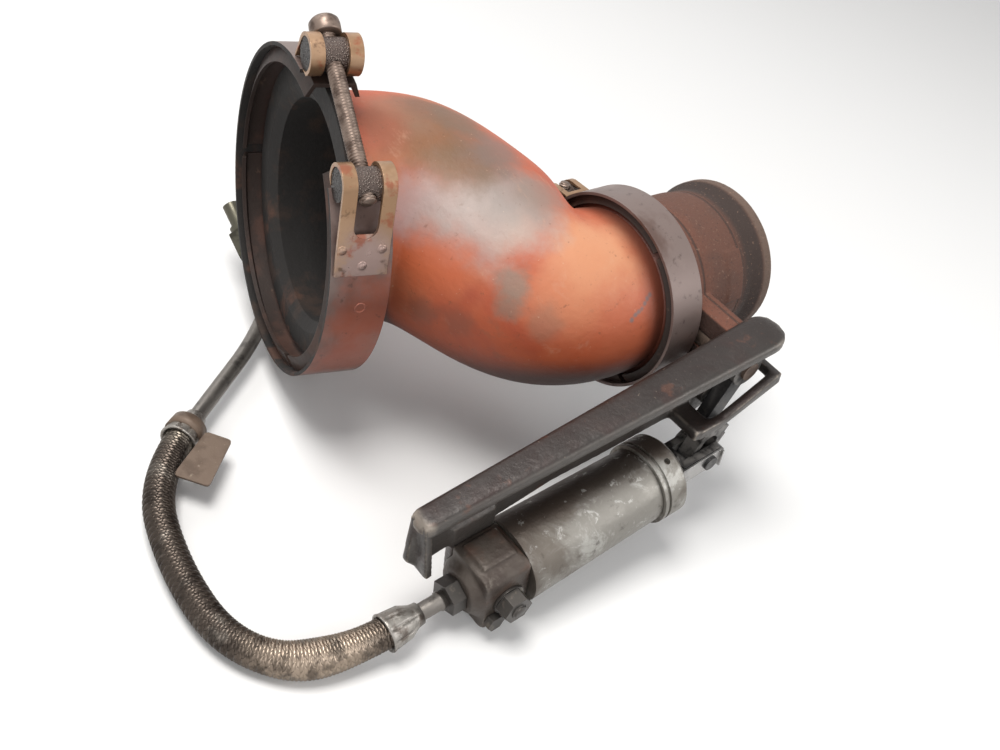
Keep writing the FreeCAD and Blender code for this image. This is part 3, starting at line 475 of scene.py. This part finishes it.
def knurl_paint():
    """Cross-knurled barrel with bright crests, and painted shade on the ends that face towards -X."""
    paint = Paint("knurled_steel", (0.10, 0.075, 0.065), 0.4, 0.7, 0.0002)
    pips = paint.cells(1150.0)
    paint.cover((0.50, 0.43, 0.38), paint.between(pips, 0.32, 0.10), 0.7)
    # Painted shade on the ends that face towards -X, out of the mouth.
    paint.cover((0.016, 0.013, 0.012), paint.facing((-0.965, 0.26, 0), 0.8, 0.95))
    paint.raise_by(paint.between(pips, 0.6, 0.1), 0.00035)
    return paint.done()


def housing_paint():
    """Rusted sand casting, redder near the clamp, with painted shade in the flare, along two grooves, on the
    faces towards -X and underneath, and a grey-brown rim painted lighter as a lit face.
    """
    paint = Paint("cast_housing", (0.115, 0.048, 0.031), 0.75, 0.0, 0.0008)
    paint.cover((0.165, 0.058, 0.034), paint.between(paint.axis_part("X"), -0.036, -0.060), 0.85)
    paint.cover((0.085, 0.042, 0.030), paint.between(paint.noise(40.0, 6.0), 0.48, 0.66), 0.6)
    # Painted shade in the flare's hollow.
    shaded_flare = paint.math("MULTIPLY", paint.between(paint.axis_part("X"), -0.0225, -0.0150),
                       paint.between(paint.axis_part("X"), -0.0050, -0.0085))
    paint.cover((0.022, 0.014, 0.011), shaded_flare, 0.9)
    # Greyer rim tone, painted lighter as a lit face.
    paint.cover((0.135, 0.090, 0.068), paint.between(paint.axis_part("X"), -0.0080, -0.0055), 0.9)
    # Painted shade along two grooves, which the bump sinks as well.
    for pixel in ((690, 236), (729, 228)):
        line = on_node("valve_housing", *pixel)[0]
        if line:
            away = paint.math("ABSOLUTE", paint.math("SUBTRACT", paint.axis_part("X"), line.x))
            shaded_groove = paint.between(away, 0.0011, 0.0002)
            paint.cover((0.045, 0.022, 0.015), shaded_groove, 0.85)
            paint.raise_by(shaded_groove, -0.0007)
    paint.cover((0.33, 0.20, 0.14), paint.between(paint.noise(700.0, 4.0), 0.60, 0.70), 0.45)
    paint.cover((0.030, 0.017, 0.013), paint.between(paint.noise(650.0, 5.0), 0.42, 0.34), 0.5)
    # Painted shade on the faces turned to -X and on those turned down.
    paint.cover((0.025, 0.016, 0.013), paint.facing((-1, 0.1, -0.2), 0.6, 0.95), 0.8)
    paint.cover((0.030, 0.016, 0.012), paint.facing((0.2, -0.3, -1), 0.30, 0.80), 0.8)
    paint.raise_by(paint.noise(900.0, 5.0, 0.7), 0.0006)
    paint.raise_by(paint.noise(120.0, 5.0), 0.0008)
    return paint.done()


def valve_paint():
    paint = Paint("valve_steel", (0.16, 0.115, 0.09), 0.5, 0.6)
    paint.cover((0.05, 0.03, 0.022), paint.between(paint.noise(70.0, 6.0), 0.42, 0.6), 0.8)
    paint.raise_by(paint.noise(300.0), 0.0001)
    return paint.done()


def black_paint():
    paint = Paint("lever_steel", (0.022, 0.021, 0.021), 0.42, 0.3, 0.0005)
    paint.cover((0.09, 0.075, 0.06), paint.between(paint.noise(110.0, 7.0), 0.56, 0.7), 0.6)
    paint.worn_edges((0.32, 0.30, 0.28), 0.6)
    paint.raise_by(paint.noise(400.0, 6.0), 0.00015)
    return paint.done()


def bright_paint(name, colour, roughness):
    paint = Paint(name, colour, roughness, 0.9, 0.0003)
    dark = tuple(part * 0.35 for part in colour)
    paint.cover(dark, paint.between(paint.noise(130.0, 7.0), 0.52, 0.68), 0.7)
    paint.vary_roughness(paint.noise(90.0), roughness - 0.08, roughness + 0.14)
    paint.raise_by(paint.noise(500.0), 0.00006)
    return paint.done()


def bracket_paint():
    """Dark worn casting, browner on top, with glossy bare edges, and painted light on the faces towards the
    front.
    """
    paint = Paint("cast_bracket", (0.036, 0.030, 0.027), 0.38, 0.3, 0.0008)
    paint.cover((0.040, 0.020, 0.017), paint.between(paint.noise(22.0, 6.0, 0.6, 0.6), 0.45, 0.62), 0.75)
    paint.cover((0.115, 0.090, 0.075), paint.between(paint.noise(50.0, 8.0, 0.7), 0.58, 0.72), 0.55)
    # Painted light: greyer and lighter on the faces towards the front.
    paint.cover((0.115, 0.105, 0.095), paint.facing((-0.1, -1, 0.1), 0.45, 0.9), 0.6)
    paint.cover((0.022, 0.013, 0.011), paint.facing((-0.1, 0.6, 1), 0.62, 0.92), 0.55)
    paint.cover((0.13, 0.055, 0.035), paint.between(paint.noise(80.0, 8.0), 0.60, 0.70), 0.5)
    paint.cover((0.30, 0.24, 0.19), paint.between(paint.noise(750.0, 3.0), 0.68, 0.75), 0.5)
    paint.worn_edges((0.36, 0.31, 0.26), 0.85, 0.515, 0.56)
    paint.vary_roughness(paint.noise(60.0), 0.26, 0.48)
    paint.raise_by(paint.noise(300.0, 6.0, 0.65), 0.0003)
    paint.raise_by(paint.noise(60.0, 4.0), 0.0008)
    return paint.done()


def screw_paint():
    paint = Paint("screw_steel", (0.075, 0.068, 0.062), 0.38, 0.7, 0.0004)
    paint.cover((0.20, 0.17, 0.14), paint.between(paint.noise(160.0, 6.0), 0.55, 0.68), 0.6)
    return paint.done()


def barrel_paint():
    """Cast aluminium, mottled grey, with painted shade towards the top, pale flecks partly painted as
    highlights, and brown with oil towards the head.
    """
    paint = Paint("cast_aluminium", (0.255, 0.24, 0.215), 0.46, 0.5, 0.0006)
    paint.cover((0.46, 0.45, 0.42), paint.between(paint.noise(38.0, 8.0, 0.7, 0.8), 0.52, 0.62), 0.75)
    paint.cover((0.130, 0.108, 0.088), paint.between(paint.noise(26.0, 7.0, 0.65, 0.5), 0.48, 0.62), 0.8)
    # Painted shade: dark brown on the faces turned up and back, under the bracket.
    paint.cover((0.050, 0.034, 0.026), paint.facing((0.1, 0.75, 0.8), 0.25, 0.80), 0.9)
    # Pale grey flecks: mottled tone, partly a painted highlight.
    paint.cover((0.62, 0.61, 0.58), paint.between(paint.noise(130.0, 8.0, 0.75, 0.6), 0.58, 0.65), 0.5)
    paint.cover((0.055, 0.042, 0.033), paint.between(paint.noise(85.0, 8.0, 0.7), 0.58, 0.68), 0.6)
    head_side = paint.between(paint.axis_part("X"), -0.176, -0.190)
    paint.cover((0.085, 0.065, 0.052), head_side, 0.6)
    paint.vary_roughness(paint.noise(55.0, 6.0), 0.32, 0.60)
    paint.raise_by(paint.noise(420.0, 6.0, 0.65), 0.00025)
    paint.raise_by(paint.noise(45.0, 4.0), 0.0006)
    return paint.done()


def head_paint():
    paint = Paint("head_aluminium", (0.085, 0.068, 0.056), 0.48, 0.3, 0.0012)
    paint.cover((0.040, 0.026, 0.020), paint.between(paint.noise(40.0, 7.0), 0.45, 0.62), 0.8)
    paint.cover((0.19, 0.165, 0.14), paint.between(paint.noise(90.0, 8.0, 0.7), 0.57, 0.70), 0.6)
    paint.cover((0.13, 0.055, 0.032), paint.between(paint.noise(26.0, 5.0), 0.58, 0.72), 0.6)
    paint.worn_edges((0.30, 0.26, 0.22), 0.7, 0.515, 0.56)
    paint.raise_by(paint.noise(350.0, 6.0), 0.0003)
    return paint.done()


def rubber_paint():
    paint = Paint("seal_rubber", (0.012, 0.012, 0.012), 0.6)
    paint.cover((0.04, 0.035, 0.03), paint.between(paint.noise(200.0), 0.5, 0.7), 0.6)
    return paint.done()


def zinc_paint():
    paint = Paint("zinc_steel", (0.30, 0.28, 0.255), 0.36, 0.7, 0.0004)
    paint.cover((0.085, 0.062, 0.048), paint.between(paint.noise(120.0, 8.0, 0.7), 0.46, 0.60), 0.8)
    paint.cover((0.60, 0.58, 0.53), paint.between(paint.noise(170.0, 5.0), 0.58, 0.66), 0.6)
    paint.raise_by(paint.noise(260.0, 6.0), 0.0004)
    return paint.done()


def braid_paint(bulge):
    """Stainless wire, oily and dark on most of the hose, bright where it bulges."""
    paint = Paint("braid", (0.070, 0.055, 0.045), 0.30, 0.85, 0.0)
    paint.cover((0.34, 0.27, 0.21), paint.near(bulge, 0.038, 0.25), 0.95)
    paint.cover((0.24, 0.21, 0.17), paint.near(HOSE[-1], 0.026, 0.3), 0.85)
    paint.cover((0.16, 0.14, 0.12), paint.between(paint.noise(70.0, 6.0), 0.54, 0.66), 0.6)
    paint.cover((0.022, 0.016, 0.013), paint.between(paint.noise(90.0, 7.0), 0.50, 0.40), 0.6)
    return paint.done()


def tag_paint():
    paint = Paint("tag_steel", (0.155, 0.108, 0.078), 0.55, 0.2, 0.0004)
    paint.cover((0.085, 0.054, 0.036), paint.between(paint.noise(80.0, 7.0), 0.46, 0.62), 0.75)
    paint.cover((0.42, 0.34, 0.26), paint.between(paint.noise(260.0, 5.0), 0.62, 0.72), 0.6)
    paint.raise_by(paint.noise(300.0, 6.0), 0.0002)
    return paint.done()


# Frames and routes shared with the CAD
MOUTH_TURN = math.radians(-15.1)
MOUTH = Matrix.Translation((-0.2053, 0.1062, 0.0043)) @ Matrix.Rotation(MOUTH_TURN, 4, "Z")
RAM_PITCH = math.radians(10.0)
RAM_PIN = Vector((-0.069, -0.078, -0.0465))
RAM_AXIS = Vector((math.cos(RAM_PITCH), 0, math.sin(RAM_PITCH)))
BAND_RADIUS = 0.0790
LIP_DEPTH = 0.0166
# Distances along the cylinder's axis, back from the fork pin
STUD_BACK, TUBE_BACK, HOSE_BACK, HOSE_BEND_BACK = 0.130, 0.148, 0.1746, 0.2133
HOSE_RADIUS = 0.0070
CORE_RADIUS = HOSE_RADIUS - 0.0006
# Where the braid bulges along the hose, by how much and over what length
BULGE, BULGE_RISE, BULGE_SPREAD = 0.042, 0.0014, 0.016
BRAID_ANGLE = math.radians(46.0)
BRAID_CARRIERS, BRAID_WIRES = 14, 5
BRAID_STEPS, CORE_STEPS = 124, 24
# Half of a carrier's width, as a share of the pitch, and its rise where it crosses another
CARRIER_HALF = 0.46
CARRIER_LIFT = 0.00032
WIRE_RISE = 0.00016
HOSE = [
    RAM_PIN - RAM_AXIS * HOSE_BACK,
    RAM_PIN - RAM_AXIS * HOSE_BEND_BACK,
    Vector((-0.3085, -0.0515, -0.0835)),
    Vector((-0.3100, -0.0050, -0.0830)),
    Vector((-0.2972, 0.0451, -0.0806)),
    Vector((-0.2670, 0.0665, -0.0800)),
]


def route_points(curve):
    """Points read from a curve that has no bevel."""
    mesh = bpy.data.meshes.new_from_object(curve)
    points = [vertex.co.copy() for vertex in mesh.vertices]
    bpy.data.meshes.remove(mesh)
    return points


def make_core():
    """The hose's rubber core as a curve, and the points of its route."""
    data = bpy.data.curves.new("hose_core", "CURVE")
    data.dimensions = "3D"
    spline = data.splines.new("NURBS")
    spline.points.add(len(HOSE) - 1)
    for point, place in zip(spline.points, HOSE):
        point.co = (*place, 1.0)
    spline.order_u = 3
    spline.use_endpoint_u = True
    core = bpy.data.objects.new("hose_core", data)
    scene.collection.objects.link(core)
    spline.resolution_u = BRAID_STEPS
    route = route_points(core)
    spline.resolution_u = CORE_STEPS
    data.bevel_depth = CORE_RADIUS
    data.use_fill_caps = True
    add_piece(core, "frame", "seal_rubber", rubber_paint(), "braided_hose")
    return core, route


def make_braid(route):
    """Wire braid woven over the core: flat carriers wound both ways, over and under each other."""
    run = [0.0]
    for before, after in zip(route, route[1:]):
        run.append(run[-1] + (after - before).length)
    ways = [(after - before).normalized() for before, after in zip(route, route[1:])]
    ways.append(ways[-1])
    sides = []
    side = side_axes(ways[0])[0]
    for direction in ways:
        side = (side - direction * side.dot(direction)).normalized()
        sides.append((side, direction.cross(side)))
    turn_rate = math.tan(BRAID_ANGLE) / HOSE_RADIUS
    pitch = 2 * math.pi / BRAID_CARRIERS
    half_width = pitch * CARRIER_HALF
    across = BRAID_WIRES * 2 + 1
    points, faces = [], []
    for hand in (1, -1):
        for carrier in range(BRAID_CARRIERS):
            offset = len(points)
            for point, s, (first, second) in zip(route, run, sides):
                swell = BULGE_RISE * math.exp(-((s - BULGE) / BULGE_SPREAD) ** 2)
                middle = carrier * pitch + hand * turn_rate * s
                weave = hand * CARRIER_LIFT * math.cos(turn_rate * BRAID_CARRIERS * s)
                for column in range(across):
                    u = column / (across - 1) * 2 - 1
                    ridge = WIRE_RISE if column % 2 else 0.0
                    radius = HOSE_RADIUS - 0.0002 + swell + weave + ridge - 0.00010 * u * u
                    angle = middle + u * half_width
                    points.append(point + radius * (math.cos(angle) * first + math.sin(angle) * second))
            strip = grid_faces(len(route), across, False, offset)
            faces.extend(strip if hand == 1 else [face[::-1] for face in strip])
    bulge = next(point for point, s in zip(route, run) if s > BULGE)
    braid = new_mesh("hose_braid", points, faces)
    add_piece(braid, "frame", "braid", braid_paint(bulge))
    return braid, run[-1]


core, route = make_core()
braid, hose_length = make_braid(route)


def fluted_ferrule(name, joint, into, material, replaced):
    """Crimped sleeve with lengthwise flutes and a rolled rim, narrow at the tube."""
    into = into.normalized()
    profile = [(-0.0080, 0.0041), (-0.0080, 0.0051), (-0.0050, 0.0055), (-0.0025, 0.0066), (0.0, 0.0079),
               (0.0060, 0.0085), (0.0084, 0.0087), (0.0097, 0.0092), (0.0102, 0.0090), (0.0100, 0.0077),
               (0.0040, 0.0074)]
    first, second = side_axes(into)
    columns = 96
    points = []
    for along, radius in profile:
        fluted = 0.0011 if radius > 0.0055 and along < 0.0090 else 0.0
        for column in range(columns):
            angle = 2 * math.pi * column / columns
            depth = fluted * max(0.0, 1 - abs(math.sin(angle * 4.5)) / 0.35)
            outward = math.cos(angle) * first + math.sin(angle) * second
            points.append(joint + into * along + outward * (radius - depth))
    obj = new_mesh(name, points, grid_faces(len(profile), columns))
    return add_piece(obj, "frame", "zinc_steel", material, replaced)


def rounded_plate(name, corners, thickness, corner_radius):
    """A flat plate with rounded corners."""
    normal = (corners[1] - corners[0]).cross(corners[2] - corners[1]).normalized()
    rim = []
    steps = 6
    for index, corner in enumerate(corners):
        before = (corners[index - 1] - corner).normalized()
        after = (corners[(index + 1) % len(corners)] - corner).normalized()
        for step in range(steps + 1):
            t = step / steps
            start, end = corner + before * corner_radius, corner + after * corner_radius
            rim.append((1 - t) ** 2 * start + 2 * t * (1 - t) * corner + t ** 2 * end)
    count = len(rim)
    points = [spot + normal * thickness / 2 for spot in rim] + [spot - normal * thickness / 2 for spot in rim]
    faces = [tuple(range(count)), tuple(range(2 * count - 1, count - 1, -1))]
    faces += [(k, k + count, (k + 1) % count + count, (k + 1) % count) for k in range(count)]
    return new_mesh(name, points, faces, False)


TAG_PIXELS = [(206, 432), (232, 441), (209, 487), (173, 475)]


def make_tag(joint, into, material):
    """The tag plate beside the far ferrule, and the strap that holds it."""
    height = joint.z + 0.0029
    corners = []
    for pixel in TAG_PIXELS:
        ray = pixel_ray(*pixel)
        corners.append(CAMERA_PLACE + ray * ((height - CAMERA_PLACE.z) / ray.z))
    leaf = rounded_plate("tag_leaf", corners, 0.001, 0.0022)
    add_piece(leaf, "frame", "tag_steel", material, "tag_plate")
    profile = [(-0.0015, 0.0080), (-0.0015, 0.0090), (0.0055, 0.0094), (0.0055, 0.0080)]
    strap = lathe("tag_strap", joint, into, profile)
    add_piece(strap, "frame", "tag_steel", material)
    return [leaf, strap]


zinc = zinc_paint()
tag_finish = tag_paint()
hose_end = (HOSE[-2] - HOSE[-1]).normalized()
ferrule_a = fluted_ferrule("crimped_ferrule_a", HOSE[0], HOSE[1] - HOSE[0], zinc, "ferrule_a")
ferrule_b = fluted_ferrule("crimped_ferrule_b", HOSE[-1], hose_end, zinc, "ferrule_b")
tag_pieces = make_tag(HOSE[-1], hose_end, tag_finish)


THREAD_CHAMFER = 0.0008


def threaded_rod(name, start, direction, length, radius, thread_pitch, body, slot_name, material, *replaced):
    """A rod with a real helical thread."""
    direction = direction.normalized()
    first, second = side_axes(direction)
    columns = 30
    per_turn = 6
    rows = int(length / thread_pitch * per_turn)
    depth = thread_pitch * 0.5
    points = []
    for row in range(rows + 1):
        along = length * row / rows
        chamfer = max(0.0, THREAD_CHAMFER - min(along, length - along))
        for column in range(columns):
            angle = 2 * math.pi * column / columns
            phase = (along / thread_pitch - column / columns) % 1.0
            radial = radius - depth * abs(2 * phase - 1) - chamfer
            outward = math.cos(angle) * first + math.sin(angle) * second
            points.append(start + direction * along + outward * radial)
    faces = grid_faces(rows + 1, columns)
    faces.append(tuple(range(columns))[::-1])
    faces.append(tuple(rows * columns + column for column in range(columns)))
    obj = new_mesh(name, points, faces)
    return add_piece(obj, body, slot_name, material, *replaced)


def clamp_bolt(prefix, trunnion_radius, bolt_radius, thread_pitch, beyond, material):
    """A clamp's threaded bolt, from below its lower trunnion to beyond the upper one."""
    lower = centre(prefix + "_lower_trunnion")
    upper = centre(prefix + "_upper_trunnion")
    reach = upper - lower
    along = reach.normalized()
    below = trunnion_radius + 0.002
    start = lower - along * below
    length = reach.length + below + beyond
    threaded_rod(prefix + "_thread", start, along, length, bolt_radius, thread_pitch, "frame", "bolt_steel",
                 material, prefix + "_t_bolt")
    return upper, along


def cap_nut(upper, along, material):
    """Round closed nut on the mouth clamp's bolt."""
    seat = 0.0094
    profile = [(0.0, 0.0042), (0.0, 0.0064), (0.0006, 0.0069), (0.0050, 0.0071), (0.0068, 0.0069),
               (0.0079, 0.0060), (0.0081, 0.0050), (0.0077, 0.0044), (0.0076, 0.0006)]
    cap = lathe("mouth_cap_nut", upper + along * seat, along, profile)
    add_piece(cap, "frame", "bolt_steel", material, "mouth_nut")


LOOP_ANGLE, LOOP_ROOT = math.radians(43.0), math.radians(15.5)
LOOP_GAUGE, LOOP_RING, SLOT_HALF = 0.0018, 0.00935, 0.0056
LOOP_MIDDLE = 0.013


def clamp_side(angle, radius):
    """A point in the mouth clamp's plane: from the camera side towards +Z."""
    return Vector((0, -radius * math.cos(angle), radius * math.sin(angle)))


def slot_end(material):
    """Rounds the lower end of the slot in the lower loop."""
    ring = clamp_side(LOOP_ANGLE, BAND_RADIUS - LOOP_GAUGE + LOOP_RING)
    root = clamp_side(LOOP_ROOT, BAND_RADIUS + LOOP_GAUGE)
    away = ring - root
    lean = math.asin(LOOP_RING / away.length)
    up_strip = (Matrix.Rotation(lean, 3, "X") @ away).normalized()
    outward = Vector((1, 0, 0)).cross(up_strip)
    slot_run = 0.6 * (LOOP_ANGLE - LOOP_ROOT) * BAND_RADIUS
    climb = Vector((0, math.sin(LOOP_ANGLE), math.cos(LOOP_ANGLE)))
    gap = -slot_run - (root - clamp_side(LOOP_ANGLE, BAND_RADIUS)).dot(climb)
    bottom = root + up_strip * (gap / up_strip.dot(climb))
    points, faces = [], []
    columns = 25
    for column in range(columns):
        across = SLOT_HALF * (column / (columns - 1) * 2 - 1)
        rise = SLOT_HALF - math.sqrt(max(0.0, SLOT_HALF ** 2 - across ** 2))
        for depth in (0.0, -LOOP_GAUGE):
            for height in (-0.0003, max(rise, -0.0002)):
                local = bottom + up_strip * height + outward * depth + Vector((LOOP_MIDDLE + across, 0, 0))
                points.append(MOUTH @ local)
    for column in range(columns - 1):
        a = column * 4
        b = a + 4
        for near, far in ((0, 1), (1, 3), (3, 2), (2, 0)):
            faces.append((a + near, b + near, b + far, a + far))
    add_piece(new_mesh("lower_loop_slot_end", points, faces, False), "frame", "loop_steel", material)


def stamp(name, node, pixel, profile, slot_name, material):
    """A small round stamping on a node, where the photo shows it."""
    place, normal = on_node(node, *pixel)
    if place:
        add_piece(lathe(name, place, normal, profile, 32), "frame", slot_name, material)


def make_stampings(loops, band):
    weld = [(-0.0003, 0.0024), (0.0003, 0.0021), (0.00012, 0.0016), (0.0005, 0.0011), (0.0007, 0.0004)]
    for index, pixel in enumerate(((342, 251), (382, 249), (362, 266))):
        stamp("loop_weld_%d" % (index + 1), "mouth_lower_loop", pixel, weld, "loop_steel", loops)
    ring = [(-0.0003, 0.0029), (0.0003, 0.0026), (0.0003, 0.0022), (-0.0001, 0.0019), (-0.0001, 0.0002)]
    stamp("band_emboss", "mouth_band", (360, 308), ring, "band_steel", band)
    for index, pixel in enumerate(((579, 189), (593, 187))):
        stamp("neck_weld_%d" % (index + 1), "neck_band", pixel, weld, "band_steel", band)


BRACE = Matrix.Translation((-0.037, -0.061, 0.0195)) @ Matrix.Rotation(math.radians(-12.8), 4, "Y")
BRACE_LENGTH, BRACE_DEPTH_LEFT, BRACE_DEPTH_RIGHT = 0.205, 0.011, 0.020


def make_rail(material):
    """Rounded top rail of the bracket, with a full nose at the valve end."""
    nose_radius, nose_x = 0.0110, -0.009
    half_thick, middle_z = 0.0042, -0.0030
    # Below 1 this power of sine and cosine squares the section's corners
    squareness = 0.55
    stations = 90
    columns = 40
    left = -BRACE_LENGTH - 0.001
    run = BRACE_LENGTH + 0.001 + nose_x + nose_radius - 0.0001
    points = []
    for station in range(stations):
        x = left + run * station / (stations - 1)
        share = min(1.0, (x + BRACE_LENGTH) / (BRACE_LENGTH + nose_x))
        half = (BRACE_DEPTH_LEFT + (BRACE_DEPTH_RIGHT - BRACE_DEPTH_LEFT) * share) / 2 + 0.001
        middle_y = -(half - 0.001)
        thick = half_thick
        past = max(0.0, x - nose_x)
        if past:
            half = math.sqrt(max(1e-9, nose_radius ** 2 - past ** 2))
            thick = half_thick * (half / nose_radius) ** 0.6
        end = min(1.0, 0.3 + (x + BRACE_LENGTH + 0.001) / 0.004)
        for column in range(columns):
            angle = 2 * math.pi * column / columns
            c, s = math.cos(angle), math.sin(angle)
            y = math.copysign(abs(c) ** squareness, c)
            z = math.copysign(abs(s) ** squareness, s)
            points.append(BRACE @ Vector((x, middle_y + half * y * end, middle_z + thick * z * end)))
    faces = grid_faces(stations, columns)
    faces.append(tuple(range(columns))[::-1])
    faces.append(tuple((stations - 1) * columns + column for column in range(columns)))
    add_piece(new_mesh("bracket_rail", points, faces), "frame", "cast_bracket", material)


def make_inlet_tube(material):
    """Steel tube from the head to the near ferrule, with a bead at its fitting."""
    start = RAM_PIN - RAM_AXIS * TUBE_BACK
    profile = [(0.0, 0.0040), (0.0070, 0.0040), (0.0076, 0.0046), (0.0086, 0.0046), (0.0092, 0.0040),
               (0.0200, 0.00395), (0.0250, 0.0040), (0.0300, 0.0040)]
    tube = lathe("inlet_tube", start, -RAM_AXIS, profile, 32)
    add_piece(tube, "frame", "tube_steel", material, "air_tube_a")


def make_head_stud(material):
    """Threaded stud across the cylinder head."""
    half_run = Vector((0, 0.025, 0))
    start = RAM_PIN - RAM_AXIS * STUD_BACK - half_run
    length, radius, thread_pitch = 0.043, 0.00385, 0.00125
    threaded_rod("head_stud_thread", start, Vector((0, 1, 0)), length, radius, thread_pitch, "frame",
                 "screw_steel", material, "head_stud")


# Finish of every CAD node
# Voxel size and rounds of smoothing for the castings
CAST_ROUNDING = {"bracket_arm": (0.0008, 12), "head_block": (0.0006, 16), "valve_housing": (0.0007, 6)}
HARD_EDGE = math.radians(32.0)


def round_casting(obj, voxel_size, iterations):
    """One closed skin with its edges rounded off."""
    remesh = obj.modifiers.new("cast_skin", "REMESH")
    remesh.mode = "VOXEL"
    remesh.voxel_size = voxel_size
    remesh.use_smooth_shade = True
    relax = obj.modifiers.new("cast_rounding", "SMOOTH")
    relax.factor = 0.5
    relax.iterations = iterations


def finish_nodes():
    band = band_paint()
    sooty = sooty_paint()
    loops = loop_paint()
    bolts = bolt_paint()
    knurl = knurl_paint()
    black = black_paint()
    valve = valve_paint()
    screws = screw_paint()
    tube = bright_paint("tube_steel", (0.18, 0.165, 0.15), 0.42)
    clip = bright_paint("clip_steel", (0.42, 0.41, 0.40), 0.3)
    rod = bright_paint("rod_chrome", (0.60, 0.59, 0.57), 0.18)
    brass = bright_paint("fitting_brass", (0.105, 0.098, 0.075), 0.42)
    rubber = rubber_paint()
    cast = {"valve_housing": housing_paint(), "bracket_arm": bracket_paint(), "head_block": head_paint(),
            "cylinder_barrel": barrel_paint()}
    cast["end_cap"] = cast["cylinder_barrel"]
    cast["piston"] = cast["cylinder_barrel"]
    by_slot = {
        "heat_scaled_steel": elbow_paint(), "band_steel": band, "sooty_steel": sooty, "loop_steel": loops,
        "bolt_steel": bolts, "valve_steel": valve, "lever_steel": black, "clip_steel": clip,
        "screw_steel": screws, "rod_chrome": rod, "seal_rubber": rubber, "tube_steel": tube,
        "fitting_brass": brass, "tag_steel": tag_finish, "zinc_steel": zinc, "braid": rubber,
    }
    slots = {part["node"]: part["material_slot"] for part in frame["record"]["subparts"]}
    for name, obj in nodes.items():
        material = cast.get(name) or by_slot[slots[name]]
        if name.endswith("_trunnion"):
            material = knurl
        if name == "inlet_nut":
            material = screws
        obj.data.materials.clear()
        obj.data.materials.append(material)
        for polygon in obj.data.polygons:
            polygon.use_smooth = True
            polygon.material_index = 0
        weld = obj.modifiers.new("weld", "WELD")
        weld.merge_threshold = 0.00002
        if name in CAST_ROUNDING:
            round_casting(obj, *CAST_ROUNDING[name])
        else:
            split = obj.modifiers.new("hard_edges", "EDGE_SPLIT")
            split.split_angle = HARD_EDGE
    soot_and_shade_inside(soot_and_shade_paint())
    upper, along = clamp_bolt("mouth", trunnion_radius=0.0074, bolt_radius=0.0040, thread_pitch=0.0015,
                              beyond=0.0150, material=bolts)
    cap_nut(upper, along, bolts)
    clamp_bolt("neck", trunnion_radius=0.0056, bolt_radius=0.0030, thread_pitch=0.0012, beyond=0.0176,
               material=bolts)
    make_head_stud(screws)
    slot_end(loops)
    make_stampings(loops, band)
    make_rail(cast["bracket_arm"])
    make_inlet_tube(tube)


finish_nodes()


# Floor, backdrop and light
def seen_directly(tree):
    """1 for rays from the camera and for those off metal and through glass."""
    path = tree.nodes.new("ShaderNodeLightPath")
    seen = path.outputs["Is Camera Ray"]
    for name in ("Is Glossy Ray", "Is Transmission Ray"):
        either = tree.nodes.new("ShaderNodeMath")
        either.operation = "MAXIMUM"
        tree.links.new(seen, either.inputs[0])
        tree.links.new(path.outputs[name], either.inputs[1])
        seen = either.outputs[0]
    return seen


def make_floor():
    size = 6.0
    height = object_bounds()[0].z - 0.0002
    corners = [(-size, -size, height), (size, -size, height), (size, size, height), (-size, size, height)]
    floor = new_mesh("floor", corners, [(0, 1, 2, 3)], False)
    paint = Paint("floor_white", (0.24, 0.24, 0.24), 0.9, 0.0, 0.0)
    paint.cover((0.90, 0.90, 0.90), seen_directly(paint.tree))
    paint.cover((0.88, 0.88, 0.875), paint.between(paint.noise(6.0), 0.4, 0.6), 0.05)
    floor.data.materials.append(paint.done())


def area_light(name, place, target, size, power, colour=(1, 1, 1)):
    data = bpy.data.lights.new(name, "AREA")
    data.shape = "RECTANGLE"
    data.size, data.size_y = size
    data.energy = power
    data.color = colour
    light = bpy.data.objects.new(name, data)
    light.location = place
    light.rotation_euler = (Vector(target) - Vector(place)).to_track_quat("-Z", "Y").to_euler()
    scene.collection.objects.link(light)


def make_world():
    world = bpy.data.worlds.new("studio")
    world.use_nodes = True
    tree = world.node_tree
    background = tree.nodes["Background"]
    background.inputs["Color"].default_value = (1, 1, 1, 1)
    strength = tree.nodes.new("ShaderNodeMapRange")
    strength.inputs["To Min"].default_value = 0.30
    strength.inputs["To Max"].default_value = 1.0
    tree.links.new(seen_directly(tree), strength.inputs["Value"])
    tree.links.new(strength.outputs["Result"], background.inputs["Strength"])
    scene.world = world


make_floor()
make_world()
target = (-0.15, 0.0, -0.02)
area_light("key", (-0.45, 0.10, 1.15), target, (0.6, 0.5), 13.0, (1.0, 0.98, 0.95))
area_light("front_fill", (-1.0, -0.9, 0.7), target, (1.0, 0.8), 5.0)
area_light("side", (0.5, -0.9, 0.5), target, (0.4, 0.6), 3.5)
area_light("rim", (-0.2, 0.9, 0.7), target, (0.9, 0.4), 3.0)

scene.view_settings.view_transform = "Standard"
